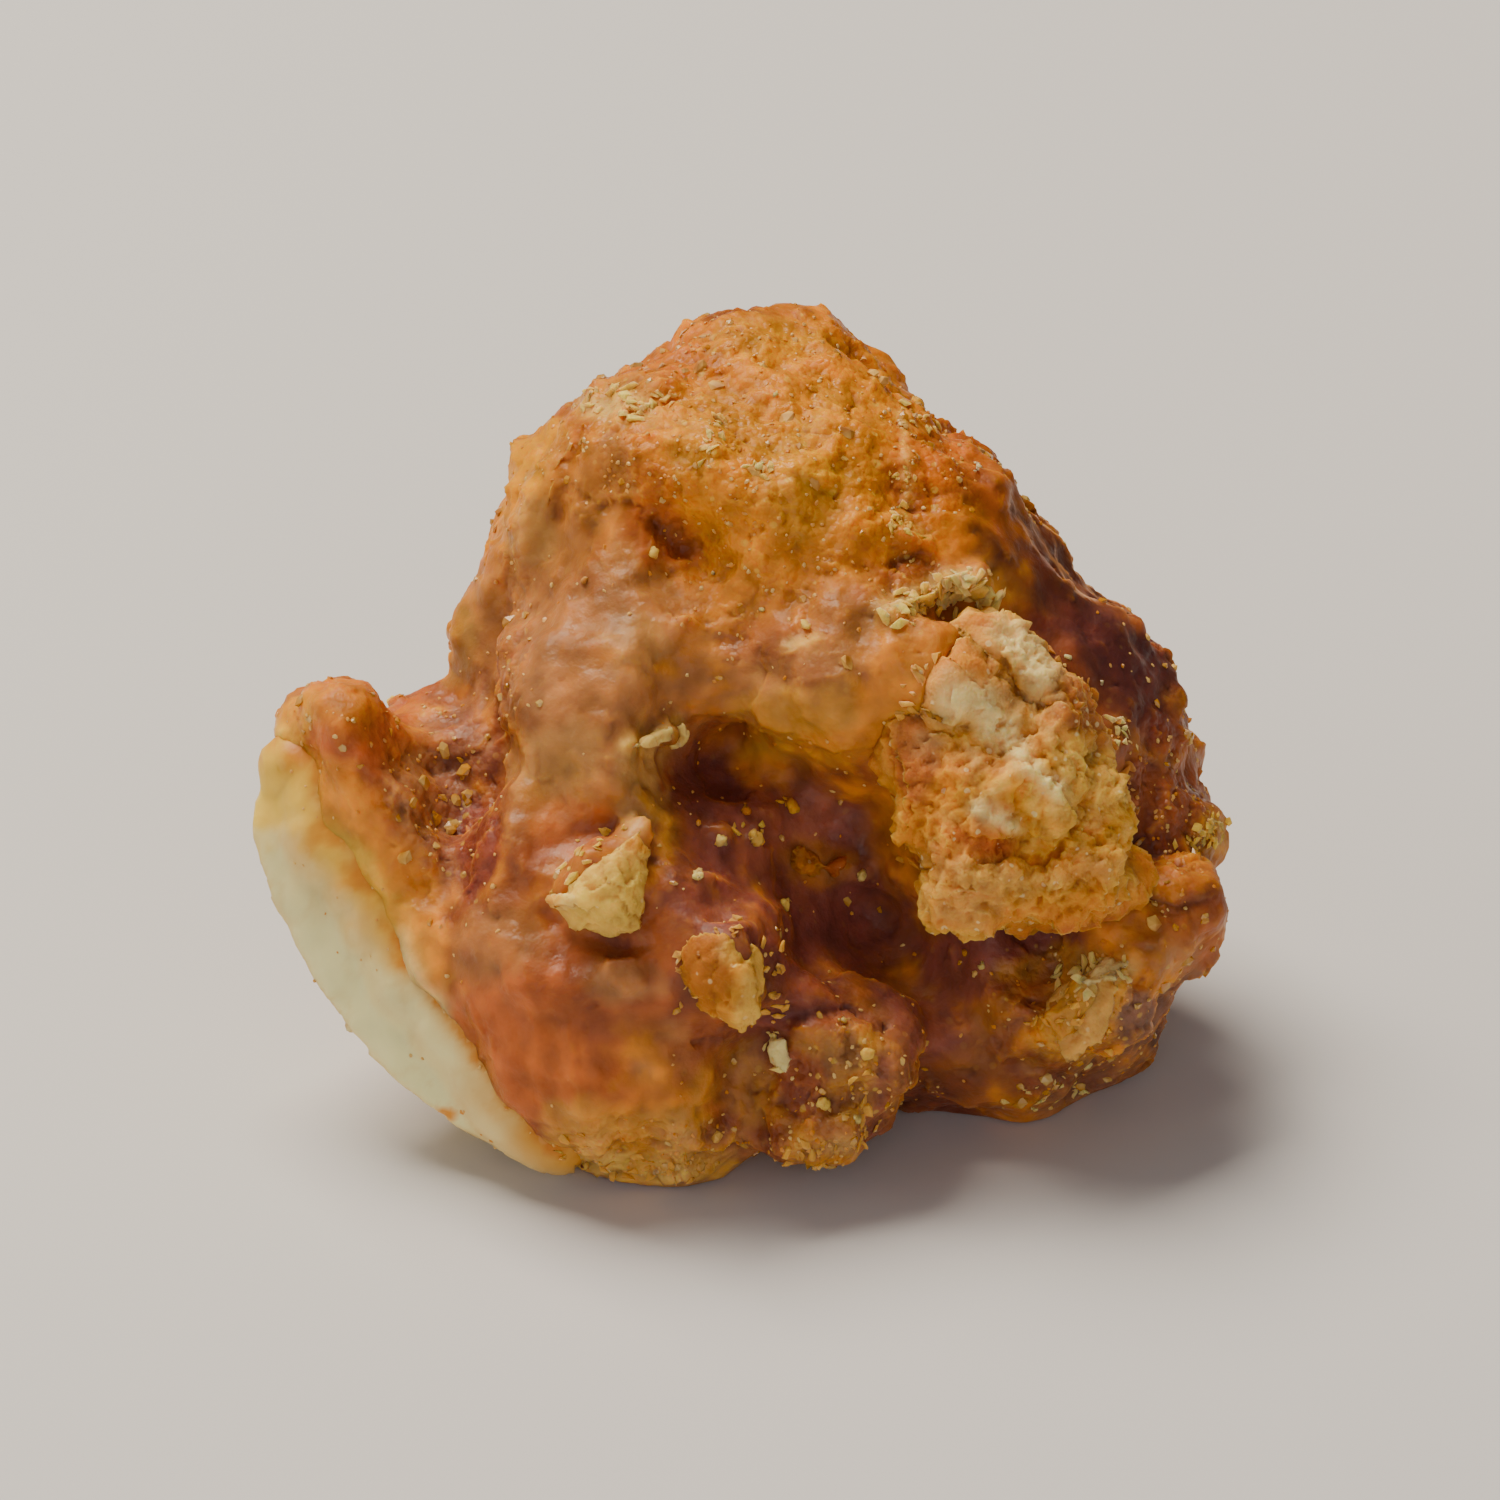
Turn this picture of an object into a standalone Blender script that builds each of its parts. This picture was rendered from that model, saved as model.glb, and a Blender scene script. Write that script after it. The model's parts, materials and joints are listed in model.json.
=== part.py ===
"""A caramelized cashew: half a kernel caught in a lumpy coat of cooked caramel, with nut crumbs stuck to it.

The clump is laid out on its own leaning axes, in millimetres: across goes to the right, rise goes up the
sloping front, and depth goes into the clump. LEAN is how far that front leans back from upright.
The finished solids are in metres, +Z up, standing on the flat foot at Z = 0.
"""

import math
from collections import namedtuple
from random import Random

import bmesh
import bpy
from mathutils import Matrix, Vector, noise
from mathutils.bvhtree import BVHTree

MM = 0.001
LEAN = math.radians(28)

# The kernel is a split half of a curved nut, flat side forward, seen from its outer bend.
BEND_CENTRE = (-0.5, 9.3)
BEND_RADIUS = 13.6
BEND_FROM = math.radians(187)
BEND_TO = math.radians(251)
TIP_HALF_WIDTH = 1.6
TAIL_HALF_WIDTH = 3.2
THICK_PER_WIDTH = 1.35
BULGE_PER_WIDTH = 0.16
FACE_DEPTH = -4.4
FACE_TURN = 0.16
TIP_ROUNDING = 0.13
KERNEL_RINGS = 26
KERNEL_SIDES = 22

COAT_CELL = 0.42
FINE_CELL = 0.28
CRUMB_CELL = 0.4
CHIP_CORNERS = 22
COAT_FACES = 8600
CRUMB_FACES = 1200
ROOM_FACES = 700
KERNEL_ROOM = 0.45
CRUMB_ROOM = 0.45
WELD = 0.00001
HOME = Vector((0.15, -3.07, 1.5))

Lump = namedtuple("Lump", "across rise depth half_width half_height half_depth")
Dent = namedtuple("Dent", "across rise radius push")
Chip = namedtuple("Chip", "across rise half_width half_height half_depth turn")

# Cooked caramel, as overlapping lumps. They melt into one skin.
COAT_LUMPS = {
    "crown": Lump(0.1, 12.6, 0.2, 6.6, 7.3, 6.6),
    "crown_left": Lump(-2.4, 13.9, -0.4, 4.5, 5.4, 5.4),
    "slope_right": Lump(4.7, 12.0, 0.2, 4.3, 4.9, 5.8),
    "shoulder_right": Lump(5.0, 6.8, 0.6, 7.9, 7.2, 6.8),
    "foot_right": Lump(5.9, 2.7, 0.6, 6.5, 4.8, 5.9),
    "belly_left": Lump(-3.1, 2.1, -1.9, 5.6, 5.9, 6.9),
    "flank_left": Lump(-3.3, 8.0, -1.2, 3.8, 6.4, 6.6),
    "flank_edge_high": Lump(-5.3, 8.9, -4.5, 1.4, 2.8, 2.5),
    "flank_edge_low": Lump(-6.2, 4.7, -4.6, 1.8, 2.6, 2.6),
    "heart": Lump(1.4, 5.4, 0.4, 7.0, 6.8, 6.8),
    "back": Lump(1.4, 8.8, 3.8, 6.8, 6.6, 4.8),
    "back_left": Lump(-3.8, 7.6, 2.4, 3.8, 5.0, 4.6),
    "foot_back": Lump(0.6, 4.9, 4.6, 5.2, 4.3, 4.0),
    "knob_top": Lump(0.2, 19.0, 0.2, 2.1, 1.4, 2.2),
    "knob_crown": Lump(-3.6, 17.2, -0.6, 2.0, 1.8, 2.4),
    "knob_shoulder": Lump(-5.5, 16.3, -1.0, 1.4, 1.5, 2.0),
    "knob_cheek": Lump(-5.7, 13.2, -0.6, 1.8, 2.3, 2.6),
    "fin": Lump(-7.2, 11.5, 0.8, 1.3, 1.7, 2.0),
    "crust_tip": Lump(-11.2, 8.4, -3.2, 1.9, 2.1, 2.5),
    "crust_upper": Lump(-10.7, 6.6, -3.5, 1.8, 1.9, 2.3),
    "crust_middle": Lump(-9.7, 4.8, -3.6, 1.5, 1.8, 2.2),
    "crust_lower": Lump(-8.4, 3.3, -3.8, 1.4, 1.8, 2.2),
    "groove_floor": Lump(-7.9, 6.6, -0.4, 2.9, 3.0, 2.9),
    "lobe_front": Lump(2.7, 0.1, -6.0, 2.2, 1.8, 1.8),
    "lobe_foot": Lump(2.0, -1.9, -5.0, 2.3, 1.7, 1.9),
    "ridge_right": Lump(8.6, 1.0, -4.1, 2.7, 1.5, 2.0),
    "ridge_outer": Lump(10.6, 3.5, -2.6, 2.3, 2.4, 2.9),
    "knob_right": Lump(12.3, 6.1, -0.8, 1.45, 1.15, 1.5),
    "brow": Lump(2.7, 10.4, -6.0, 3.2, 1.9, 2.0),
    "back_knob_high": Lump(-1.2, 12.6, 5.8, 3.0, 2.6, 2.6),
    "back_knob_low": Lump(5.6, 6.6, 6.6, 3.0, 2.6, 2.4),
    "back_knob_side": Lump(-5.0, 7.6, 5.0, 2.6, 3.0, 2.6),
    "back_knob_middle": Lump(-0.2, 8.0, 7.4, 2.4, 2.0, 2.3),
    "back_knob_right": Lump(5.6, 11.6, 5.0, 2.2, 2.2, 2.0),
    "side_knob_right": Lump(9.7, 8.0, 2.8, 2.0, 2.3, 2.4),
}

# Hollows pressed into the front, straight back along the depth.
COAT_DENTS = {
    "crown_pit": Dent(-1.9, 13.8, 0.8, 1.9),
    "crown_pit_rim": Dent(-2.1, 13.5, 2.0, 0.6),
    "hollow_high": Dent(-1.1, 8.0, 1.5, 3.6),
    "hollow_neck": Dent(1.0, 7.3, 1.4, 2.2),
    "hollow_middle": Dent(2.8, 5.9, 1.7, 2.6),
    "hollow_low": Dent(3.2, 3.6, 1.9, 3.4),
    "hollow_floor": Dent(0.9, 4.9, 1.6, 1.8),
    "hollow_tail": Dent(4.6, 1.6, 1.6, 1.8),
    "groove_high": Dent(-8.1, 7.6, 0.8, 0.7),
    "under_crumbs": Dent(7.6, 2.7, 1.5, 1.3),
    "under_crumbs_right": Dent(10.0, 5.4, 1.2, 0.9),
    "belly_crease": Dent(-0.2, 0.0, 1.1, 1.0),
    "belly_fold": Dent(-3.6, 3.1, 1.0, 0.7),
}

# Hollows pressed into the back, straight forward.
BACK_DENTS = {
    "high": Dent(2.4, 11.0, 1.9, 2.2),
    "left": Dent(-2.8, 9.9, 1.5, 2.0),
    "low": Dent(2.6, 6.2, 1.5, 2.0),
    "low_left": Dent(-2.4, 5.4, 1.4, 1.8),
    "right": Dent(8.4, 9.4, 1.7, 1.6),
    "top": Dent(3.2, 15.0, 1.6, 1.0),
}

# Small nut chips fused to the caramel.
CHIPS = {
    "wedge": Chip(-3.9, 4.5, 1.7, 1.35, 0.95, 25),
    "wedge_tail": Chip(-3.2, 5.7, 0.7, 0.9, 0.7, -20),
    "round": Chip(-0.6, 2.4, 1.1, 1.5, 0.9, 15),
    "edge": Chip(-2.6, 8.6, 0.9, 0.45, 0.5, 10),
    "splinter": Chip(0.9, 0.0, 0.45, 0.7, 0.5, 5),
    "blister": Chip(-3.4, 2.2, 0.8, 0.65, 0.5, 0),
    "curl_high": Chip(4.4, 13.9, 0.8, 0.4, 0.45, -25),
    "curl_low": Chip(5.6, 12.8, 1.25, 0.5, 0.5, 20),
    "crumb_a": Chip(-0.8, 5.9, 0.4, 0.4, 0.4, 0),
    "crumb_b": Chip(0.2, 5.9, 0.45, 0.45, 0.4, 0),
    "crumb_c": Chip(-1.3, 4.8, 0.4, 0.4, 0.4, 0),
    "crumb_d": Chip(3.1, 4.8, 0.4, 0.4, 0.4, 0),
    "ochre_low": Chip(9.2, 1.3, 1.6, 1.0, 0.7, 30),
}

# The crumb cluster: a rough crust of crushed nut on the right of the front.
CRUMB_LUMPS = {
    "white_cap": Lump(6.2, 9.2, -6.3, 1.5, 1.5, 1.3),
    "top": Lump(6.8, 10.6, -5.7, 1.0, 1.3, 1.1),
    "upper_right": Lump(7.9, 8.2, -6.0, 1.7, 1.8, 1.5),
    "right": Lump(8.4, 6.2, -5.9, 1.8, 1.8, 1.5),
    "middle": Lump(6.6, 6.8, -6.8, 2.0, 1.9, 1.4),
    "lower": Lump(6.4, 4.8, -6.8, 1.5, 1.6, 1.3),
    "lower_right": Lump(8.3, 4.7, -6.2, 1.6, 1.2, 1.3),
    "corner": Lump(9.8, 5.0, -5.4, 1.1, 1.0, 1.1),
    "left": Lump(4.9, 6.7, -6.7, 1.1, 1.4, 1.1),
    "left_top": Lump(5.0, 8.6, -6.3, 0.8, 0.9, 0.9),
}


def place(across, rise, depth):
    """A point on the leaning axes, in millimetres, as a point in metres."""
    up = rise * math.cos(LEAN) - depth * math.sin(LEAN)
    away = depth * math.cos(LEAN) + rise * math.sin(LEAN)
    return Vector((across, away, up)) * MM


def leaning(point):
    """The inverse of place."""
    x, y, z = point / MM
    return Vector((x, z * math.cos(LEAN) + y * math.sin(LEAN), y * math.cos(LEAN) - z * math.sin(LEAN)))


def material(name, colour, roughness):
    made = bpy.data.materials.new(name)
    made.use_nodes = True
    shader = made.node_tree.nodes["Principled BSDF"]
    shader.inputs["Base Color"].default_value = (*colour, 1.0)
    shader.inputs["Roughness"].default_value = roughness
    shader.inputs["Metallic"].default_value = 0.0
    return made


def object_of(name, mesh, finish=None):
    made = bpy.data.objects.new(name, mesh)
    bpy.context.scene.collection.objects.link(made)
    if finish:
        mesh.materials.clear()
        mesh.materials.append(finish)
    return made


def bake(obj):
    """Applies an object's modifiers and returns it."""
    seen = obj.evaluated_get(bpy.context.evaluated_depsgraph_get())
    mesh = bpy.data.meshes.new_from_object(seen)
    obj.modifiers.clear()
    obj.data = mesh
    return obj


def ball(points, lump):
    """Adds a lump to a bmesh as a ball stretched along the leaning axes."""
    made = bmesh.ops.create_icosphere(points, subdivisions=3, radius=1.0)
    for vert in made["verts"]:
        x, y, z = vert.co
        vert.co = place(
            lump.across + x * lump.half_width,
            lump.rise + y * lump.half_height,
            lump.depth + z * lump.half_depth,
        )


def melted(name, lumps, cell, smoothing):
    """One closed skin round overlapping lumps, with the joins between them melted smooth."""
    points = bmesh.new()
    for lump in lumps.values():
        ball(points, lump)
    mesh = bpy.data.meshes.new(name)
    points.to_mesh(mesh)
    points.free()
    obj = object_of(name, mesh)
    skin = obj.modifiers.new("skin", "REMESH")
    skin.mode = "VOXEL"
    skin.voxel_size = cell * MM
    melt = obj.modifiers.new("melt", "SMOOTH")
    melt.factor = 0.5
    melt.iterations = smoothing
    return bake(obj)


def push_dents(obj, dents, inward):
    """Presses hollows into the front half of the skin (inward 1) or into its back half (inward -1)."""
    push = place(0, 0, inward).normalized()
    for vert in obj.data.vertices:
        across, rise, depth = leaning(vert.co)
        if inward * depth > 1.0 or vert.normal.dot(push) > 0.15:
            continue
        for dent in dents.values():
            reach = ((across - dent.across) ** 2 + (rise - dent.rise) ** 2) / dent.radius**2
            if reach < 4.0:
                vert.co += push * dent.push * MM * math.exp(-1.4 * reach)


def crag(obj, steps, seed):
    """Roughens a skin along its normals; steps are (wavelength, height) pairs in millimetres."""
    shift = Vector((seed * 7.3, seed * 3.1, seed * 5.7))
    moves = []
    for vert in obj.data.vertices:
        rough = 0.0
        for wavelength, height in steps:
            rough += height * noise.noise(vert.co / (wavelength * MM) + shift)
        moves.append(vert.normal * rough * MM)
    for vert, move in zip(obj.data.vertices, moves):
        vert.co += move


def thinned(obj, cell, faces):
    """Evens the skin out again and brings it down to a number of triangles."""
    skin = obj.modifiers.new("skin", "REMESH")
    skin.mode = "VOXEL"
    skin.voxel_size = cell * MM
    bake(obj)
    quads = len(obj.data.polygons)
    thin = obj.modifiers.new("thin", "DECIMATE")
    thin.ratio = min(1.0, faces / (2.0 * quads))
    return bake(obj)


def room_for(obj):
    """A copy of the crumbs, a little swollen, to cut their room out of the coat."""
    room = object_of(obj.name + "_room", obj.data.copy())
    moves = [vert.normal * CRUMB_ROOM * MM for vert in room.data.vertices]
    for vert, move in zip(room.data.vertices, moves):
        vert.co += move
    return thinned(room, 0.8 * CRUMB_CELL, ROOM_FACES)


def half_width(share):
    """The kernel's half width along its bend, before its ends are rounded."""
    return TIP_HALF_WIDTH + (TAIL_HALF_WIDTH - TIP_HALF_WIDTH) * share**1.3


def end_rounding(share):
    """Closes the kernel's two ends like a quarter of an ellipse."""
    inset = min(share, 1.0 - share) / TIP_ROUNDING
    return 1.0 if inset >= 1.0 else math.sqrt(max(0.0, 1.0 - (1.0 - inset) ** 2))


def kernel(name, grow=0.0):
    """A split cashew: a D section swept round the bend, flat side forward."""
    points = bmesh.new()
    rings = []
    reach = 1.3 * grow / (BEND_RADIUS - TAIL_HALF_WIDTH)
    for i in range(1, KERNEL_RINGS):
        share = 0.5 - 0.5 * math.cos(math.pi * i / KERNEL_RINGS)
        angle = BEND_FROM - reach + (BEND_TO - BEND_FROM + 2.0 * reach) * share
        width = half_width(share) * end_rounding(share)
        middle = BEND_RADIUS - half_width(share)
        ring = []
        for j in range(KERNEL_SIDES):
            turn = 2.0 * math.pi * j / KERNEL_SIDES
            radius = middle + (width + grow) * math.cos(turn)
            across = BEND_CENTRE[0] + radius * math.cos(angle)
            rise = BEND_CENTRE[1] + radius * math.sin(angle)
            thick = THICK_PER_WIDTH if math.sin(turn) > 0 else BULGE_PER_WIDTH
            swell = (thick * width + grow) * math.sin(turn)
            depth = FACE_DEPTH + FACE_TURN * (BEND_CENTRE[0] - 5.0 - across) + swell
            ring.append(points.verts.new(place(across, rise, depth)))
        rings.append(ring)
    for low, high in zip(rings, rings[1:]):
        for j in range(KERNEL_SIDES):
            k = (j + 1) % KERNEL_SIDES
            points.faces.new((low[j], low[k], high[k], high[j]))
    for ring in (rings[0], rings[-1]):
        centre = sum((vert.co for vert in ring), Vector()) / len(ring)
        tip = points.verts.new(centre)
        for j in range(KERNEL_SIDES):
            points.faces.new((ring[j], ring[(j + 1) % KERNEL_SIDES], tip))
    bmesh.ops.recalc_face_normals(points, faces=points.faces)
    mesh = bpy.data.meshes.new(name)
    points.to_mesh(mesh)
    points.free()
    return object_of(name, mesh)


def chips_on(coat):
    """Small angular chips, half sunk in the front of the coat, as a collection for one union."""
    points = bmesh.new()
    points.from_mesh(coat.data)
    tree = BVHTree.FromBMesh(points)
    points.free()
    back = place(0, 0, 1).normalized()
    group = bpy.data.collections.new("chips")
    for seed, (name, chip) in enumerate(CHIPS.items()):
        hit = tree.ray_cast(place(chip.across, chip.rise, -40), back)[0]
        if hit is None:
            continue
        depth = leaning(hit)[2]
        body = bmesh.new()
        turn = Matrix.Rotation(math.radians(chip.turn), 3, "Z")
        random = Random(seed)
        for corner in range(CHIP_CORNERS):
            x, y, z = Vector(random.uniform(-1, 1) for axis in range(3)).normalized()
            x, y, _ = turn @ Vector((x * chip.half_width, y * chip.half_height, 0))
            body.verts.new(place(chip.across + x, chip.rise + y, depth + z * chip.half_depth))
        hull = bmesh.ops.convex_hull(body, input=body.verts)
        bmesh.ops.delete(body, geom=hull["geom_interior"] + hull["geom_unused"], context="VERTS")
        bmesh.ops.recalc_face_normals(body, faces=body.faces)
        mesh = bpy.data.meshes.new(name)
        body.to_mesh(mesh)
        body.free()
        group.objects.link(bpy.data.objects.new("chip_" + name, mesh))
    return group


def boolean(obj, other, operation):
    """Applies one Boolean with an object or a collection, then removes what was used."""
    cut = obj.modifiers.new(operation.lower(), "BOOLEAN")
    cut.operation = operation
    cut.solver = "EXACT"
    if isinstance(other, bpy.types.Collection):
        bpy.context.scene.collection.children.link(other)
        cut.operand_type = "COLLECTION"
        cut.collection = other
        used = list(other.objects)
    else:
        cut.object = other
        used = [other]
    bpy.context.view_layer.update()
    bake(obj)
    for item in used:
        bpy.data.objects.remove(item)
    if isinstance(other, bpy.types.Collection):
        bpy.data.collections.remove(other)
    return obj


def sewn(obj):
    """Drops the slivers that Booleans leave and splits what remains into triangles."""
    points = bmesh.new()
    points.from_mesh(obj.data)
    bmesh.ops.triangulate(points, faces=points.faces, ngon_method="EAR_CLIP")
    bmesh.ops.remove_doubles(points, verts=points.verts, dist=WELD)
    bmesh.ops.dissolve_degenerate(points, edges=points.edges, dist=WELD)
    bmesh.ops.triangulate(points, faces=points.faces)
    points.to_mesh(obj.data)
    points.free()


def ground():
    """A block from the foot plane down, to cut a flat foot."""
    points = bmesh.new()
    bmesh.ops.create_cube(points, size=60 * MM)
    bmesh.ops.translate(points, verts=points.verts, vec=(0, 0, -30 * MM))
    mesh = bpy.data.meshes.new("ground")
    points.to_mesh(mesh)
    points.free()
    return object_of("ground", mesh)


def settle(obj):
    """Moves a piece to its height above the foot plane, with the origin under the clump's middle."""
    obj.data.transform(Matrix.Translation(HOME * MM))


def build():
    for obj in list(bpy.data.objects):
        bpy.data.objects.remove(obj)
    caramel = material("caramel", (0.46, 0.17, 0.035), 0.42)
    nut = material("roasted_nut", (0.76, 0.62, 0.36), 0.6)
    crumb = material("nut_crumb", (0.72, 0.47, 0.17), 0.75)

    coat = melted("caramel_coat", COAT_LUMPS, COAT_CELL, 5)
    push_dents(coat, COAT_DENTS, 1)
    push_dents(coat, BACK_DENTS, -1)
    crag(coat, ((4.2, 0.7), (1.9, 0.55), (1.05, 0.25)), 1)
    thinned(coat, COAT_CELL, COAT_FACES)

    crumbs = melted("nut_crumb_cluster", CRUMB_LUMPS, CRUMB_CELL, 0)
    crag(crumbs, ((1.6, 0.8), (0.8, 0.5)), 2)
    thinned(crumbs, CRUMB_CELL, CRUMB_FACES)

    half_nut = kernel("cashew_kernel")
    boolean(coat, kernel("kernel_room", KERNEL_ROOM), "DIFFERENCE")
    boolean(coat, room_for(crumbs), "DIFFERENCE")
    thinned(coat, FINE_CELL, COAT_FACES)
    boolean(coat, chips_on(coat), "UNION")

    for obj, finish in ((coat, caramel), (half_nut, nut), (crumbs, crumb)):
        settle(obj)
        if obj is not crumbs:
            boolean(obj, ground(), "DIFFERENCE")
        sewn(obj)
        obj.data.materials.clear()
        obj.data.materials.append(finish)
        obj.data.shade_smooth()


build()
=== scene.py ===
"""The looks of a caramelized cashew: half a roasted kernel in craggy caramel, with nut and sugar on it.

Places on the clump are given on leaning axes, in millimetres: across goes to the right, rise goes up the
sloping front, and depth goes into the clump. The camera looks along depth.
"""

from __future__ import annotations

import json
import logging
import math
from collections.abc import Sequence
from dataclasses import dataclass
from enum import Enum

import bmesh
import bpy
import numpy as np
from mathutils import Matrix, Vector, kdtree, noise
from mathutils.bvhtree import BVHTree

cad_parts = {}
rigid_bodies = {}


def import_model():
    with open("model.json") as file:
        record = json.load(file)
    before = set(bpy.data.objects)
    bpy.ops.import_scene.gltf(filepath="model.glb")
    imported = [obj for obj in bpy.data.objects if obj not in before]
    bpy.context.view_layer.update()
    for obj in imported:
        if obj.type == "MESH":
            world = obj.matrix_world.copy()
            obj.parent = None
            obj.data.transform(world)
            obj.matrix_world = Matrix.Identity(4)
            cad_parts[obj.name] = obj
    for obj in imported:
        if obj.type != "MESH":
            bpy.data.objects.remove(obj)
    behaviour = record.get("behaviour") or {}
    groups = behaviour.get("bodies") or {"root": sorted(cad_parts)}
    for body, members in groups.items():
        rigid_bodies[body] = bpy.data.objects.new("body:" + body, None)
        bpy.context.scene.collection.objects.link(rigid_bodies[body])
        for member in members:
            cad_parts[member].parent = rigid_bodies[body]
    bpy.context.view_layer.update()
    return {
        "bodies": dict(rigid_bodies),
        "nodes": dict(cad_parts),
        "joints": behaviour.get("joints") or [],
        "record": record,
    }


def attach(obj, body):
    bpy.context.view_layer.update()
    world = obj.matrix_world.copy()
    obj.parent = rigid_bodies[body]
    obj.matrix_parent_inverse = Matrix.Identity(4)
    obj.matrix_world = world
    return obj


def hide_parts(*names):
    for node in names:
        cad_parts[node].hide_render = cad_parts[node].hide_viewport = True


LOG = logging.getLogger("caramelized_cashew")

MM = 0.001
LEAN = math.radians(28)
# Where the leaning axes meet, in millimetres, and the directions of across, rise and depth.
HOME = np.array((0.15, -3.07, 1.5))
AXES = np.array(
    (
        (1.0, 0.0, 0.0),
        (0.0, math.sin(LEAN), math.cos(LEAN)),
        (0.0, math.cos(LEAN), -math.sin(LEAN)),
    )
)
INTO = Vector(AXES[2])

# Points of a CAD node that lie this close, in metres, are one point.
SAME_POINT = 1e-6
# How far the kernel and the chips stay off the floor, and at what depth a ray starts, in millimetres.
FLOOR_GAP = 0.05
RAY_START = -40.0
# Between which cosines to the view a surface comes to face the camera, and the depths, in millimetres,
# between which the far side starts.
FACING = (-0.05, 0.45)
FAR_SIDE = (3.0, 6.0)
# How strongly one round of evening pulls a point to its neighbours.
EVEN_PULL = 0.6
# Between which shares of its size a zone fades out.
ZONE_EDGE = (0.6, 1.25)

# The forms of unevenness, for a wavelength and a height of one.
SEED_STEP = np.array((7.3, 3.1, 5.7))
HALF = Vector((0.5, 0.5, 0.5))
RIDGE_TOP = 0.35
RIDGE_SLOPE = 1.6
PEBBLE_TOP = 0.45
SHARD_SPREAD = 9.0
SHARD_TILT = 1.5
SHARD_STEP = 0.5
LEDGE_COUNT = 4.0
LEDGE_TREAD = 0.35
LEDGE_RISER = 0.3

# What a layer multiplies the linear red, green and blue beneath it by, or adds to them as a pale veil.
# Painted shade in the coat's hollows and creases, also darker syrup lying thicker there.
SYRUP_AND_SHADE = np.array((0.6, 0.42, 0.3))
# Round sugar grains paler on crusty caramel, partly painted glints.
SUGAR_SHINE = np.array((1.05, 1.2, 1.1))
# Painted haze: a faint pale veil on the lower coat, where its shade looks hazy.
CARAMEL_PAINTED_HAZE = np.array((0.0, 0.003, 0.014))
NUT_SHINE = np.array((1.1, 1.14, 1.14))
NUT_MILK = np.array((0.0, 0.003, 0.012))
# Painted shade in the cluster's hollows, also caramel soaked there, and painted shade in its fine creases.
NUT_SOAK_AND_SHADE = np.array((0.85, 0.6, 0.4))
NUT_CREASE_SHADE = np.array((0.85, 0.64, 0.44))
FLAKE_SHINE = np.array((1.4, 0.98, 0.62))

# Which part of a noise's values makes mottling, gloss and sugar patches.
MOTTLE_SPAN = (0.3, 0.7)
GLOSS_SPAN = (0.35, 0.65)
SUGAR_SPAN = (0.38, 0.62)
# Which cells hold a fleck, how large it can be, and how soft its edge is, the last two as shares of a cell.
FLECK_CELLS = (0.55, 1.0)
FLECK_REACH = (0.0, 0.36)
FLECK_EDGE = (0.0, 0.1)
FOOD_IOR = 1.5
NUT_GRIT = 0.7


class Tone(Enum):
    """The colours found on cooked caramel, sugar and roasted nut, as sRGB hex; some dark ones also serve as
    painted shade.
    """

    GOLD = "#D4830C"
    YELLOW_GOLD = "#D29010"
    ORANGE = "#BA5E14"
    OCHRE = "#C98C2A"
    HONEY = "#A8671A"
    TAN = "#A0662A"
    ROSE_TAN = "#AE743C"
    AMBER = "#984F18"
    RUST = "#7A3510"
    UMBER = "#6C3614"
    # Dark brown of the right slope, deepened with painted shade.
    BARK_AND_SHADE = "#52240E"
    # Dark syrup for recesses and creases, deepened with painted shade.
    MAROON = "#844530"
    BITTER = "#783C28"
    MAUVE = "#925A38"
    BRONZE = "#8C5C26"
    LILAC = "#80573E"
    OLIVE = "#8A701E"
    WHEAT = "#C6944A"
    STRAW = "#DCAE50"
    LEMON = "#EECB50"
    CREAM = "#DDB868"
    IVORY = "#E6CA84"
    GREY_CREAM = "#E2DCA0"
    SUGAR = "#E8D29A"

    @property
    def rgb(self) -> tuple[float, float, float]:
        """The colour as linear numbers."""
        return linear(self.value)


def linear(code: str) -> tuple[float, float, float]:
    """Turns an sRGB hex colour into linear numbers.

    Args:
        code: the colour, such as "#D2913C".

    Returns:
        Red, green and blue, from 0 to 1.
    """
    parts = (int(code[i : i + 2], 16) / 255 for i in (1, 3, 5))
    red, green, blue = (p / 12.92 if p <= 0.04045 else ((p + 0.055) / 1.055) ** 2.4 for p in parts)
    return red, green, blue


def place(points: np.ndarray | Sequence[float]) -> np.ndarray:
    """Turns leaning millimetres into metres in the model's frame."""
    return (np.asarray(points) @ AXES + HOME) * MM


def leaning(points: np.ndarray) -> np.ndarray:
    """Turns metres in the model's frame into leaning millimetres."""
    return (points / MM - HOME) @ AXES.T


def smooth_step(values: np.ndarray, low: float, high: float) -> np.ndarray:
    """Rises smoothly from 0 at low to 1 at high."""
    share = np.clip((values - low) / (high - low), 0.0, 1.0)
    return share * share * (3.0 - 2.0 * share)


def blend(first: np.ndarray, second: np.ndarray, share: np.ndarray) -> np.ndarray:
    """Mixes two sets of colours by a share for each point."""
    return first + (second - first) * share[:, None]


def glazed(colours: np.ndarray, glaze: np.ndarray, share: np.ndarray) -> np.ndarray:
    """Lays a clear glaze over colours, by a share for each point."""
    return blend(colours, colours * glaze, share)


def washed(colours: np.ndarray, tone: Tone, share: np.ndarray) -> np.ndarray:
    """Mixes one tone into colours, by a share for each point."""
    return blend(colours, rows(tone, len(colours)), share)


def rows(tone: Tone, count: int) -> np.ndarray:
    """One tone's linear colour, repeated for a number of points."""
    return np.tile(np.array(tone.rgb), (count, 1))


class Grain(Enum):
    """The kinds of unevenness that relief and mottling are made of."""

    SWELL = "soft swells"
    RIDGE = "sharp ridges"
    PEBBLE = "round grains"
    SHARD = "tilted flat facets"
    LEDGE = "flaky steps"


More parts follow.
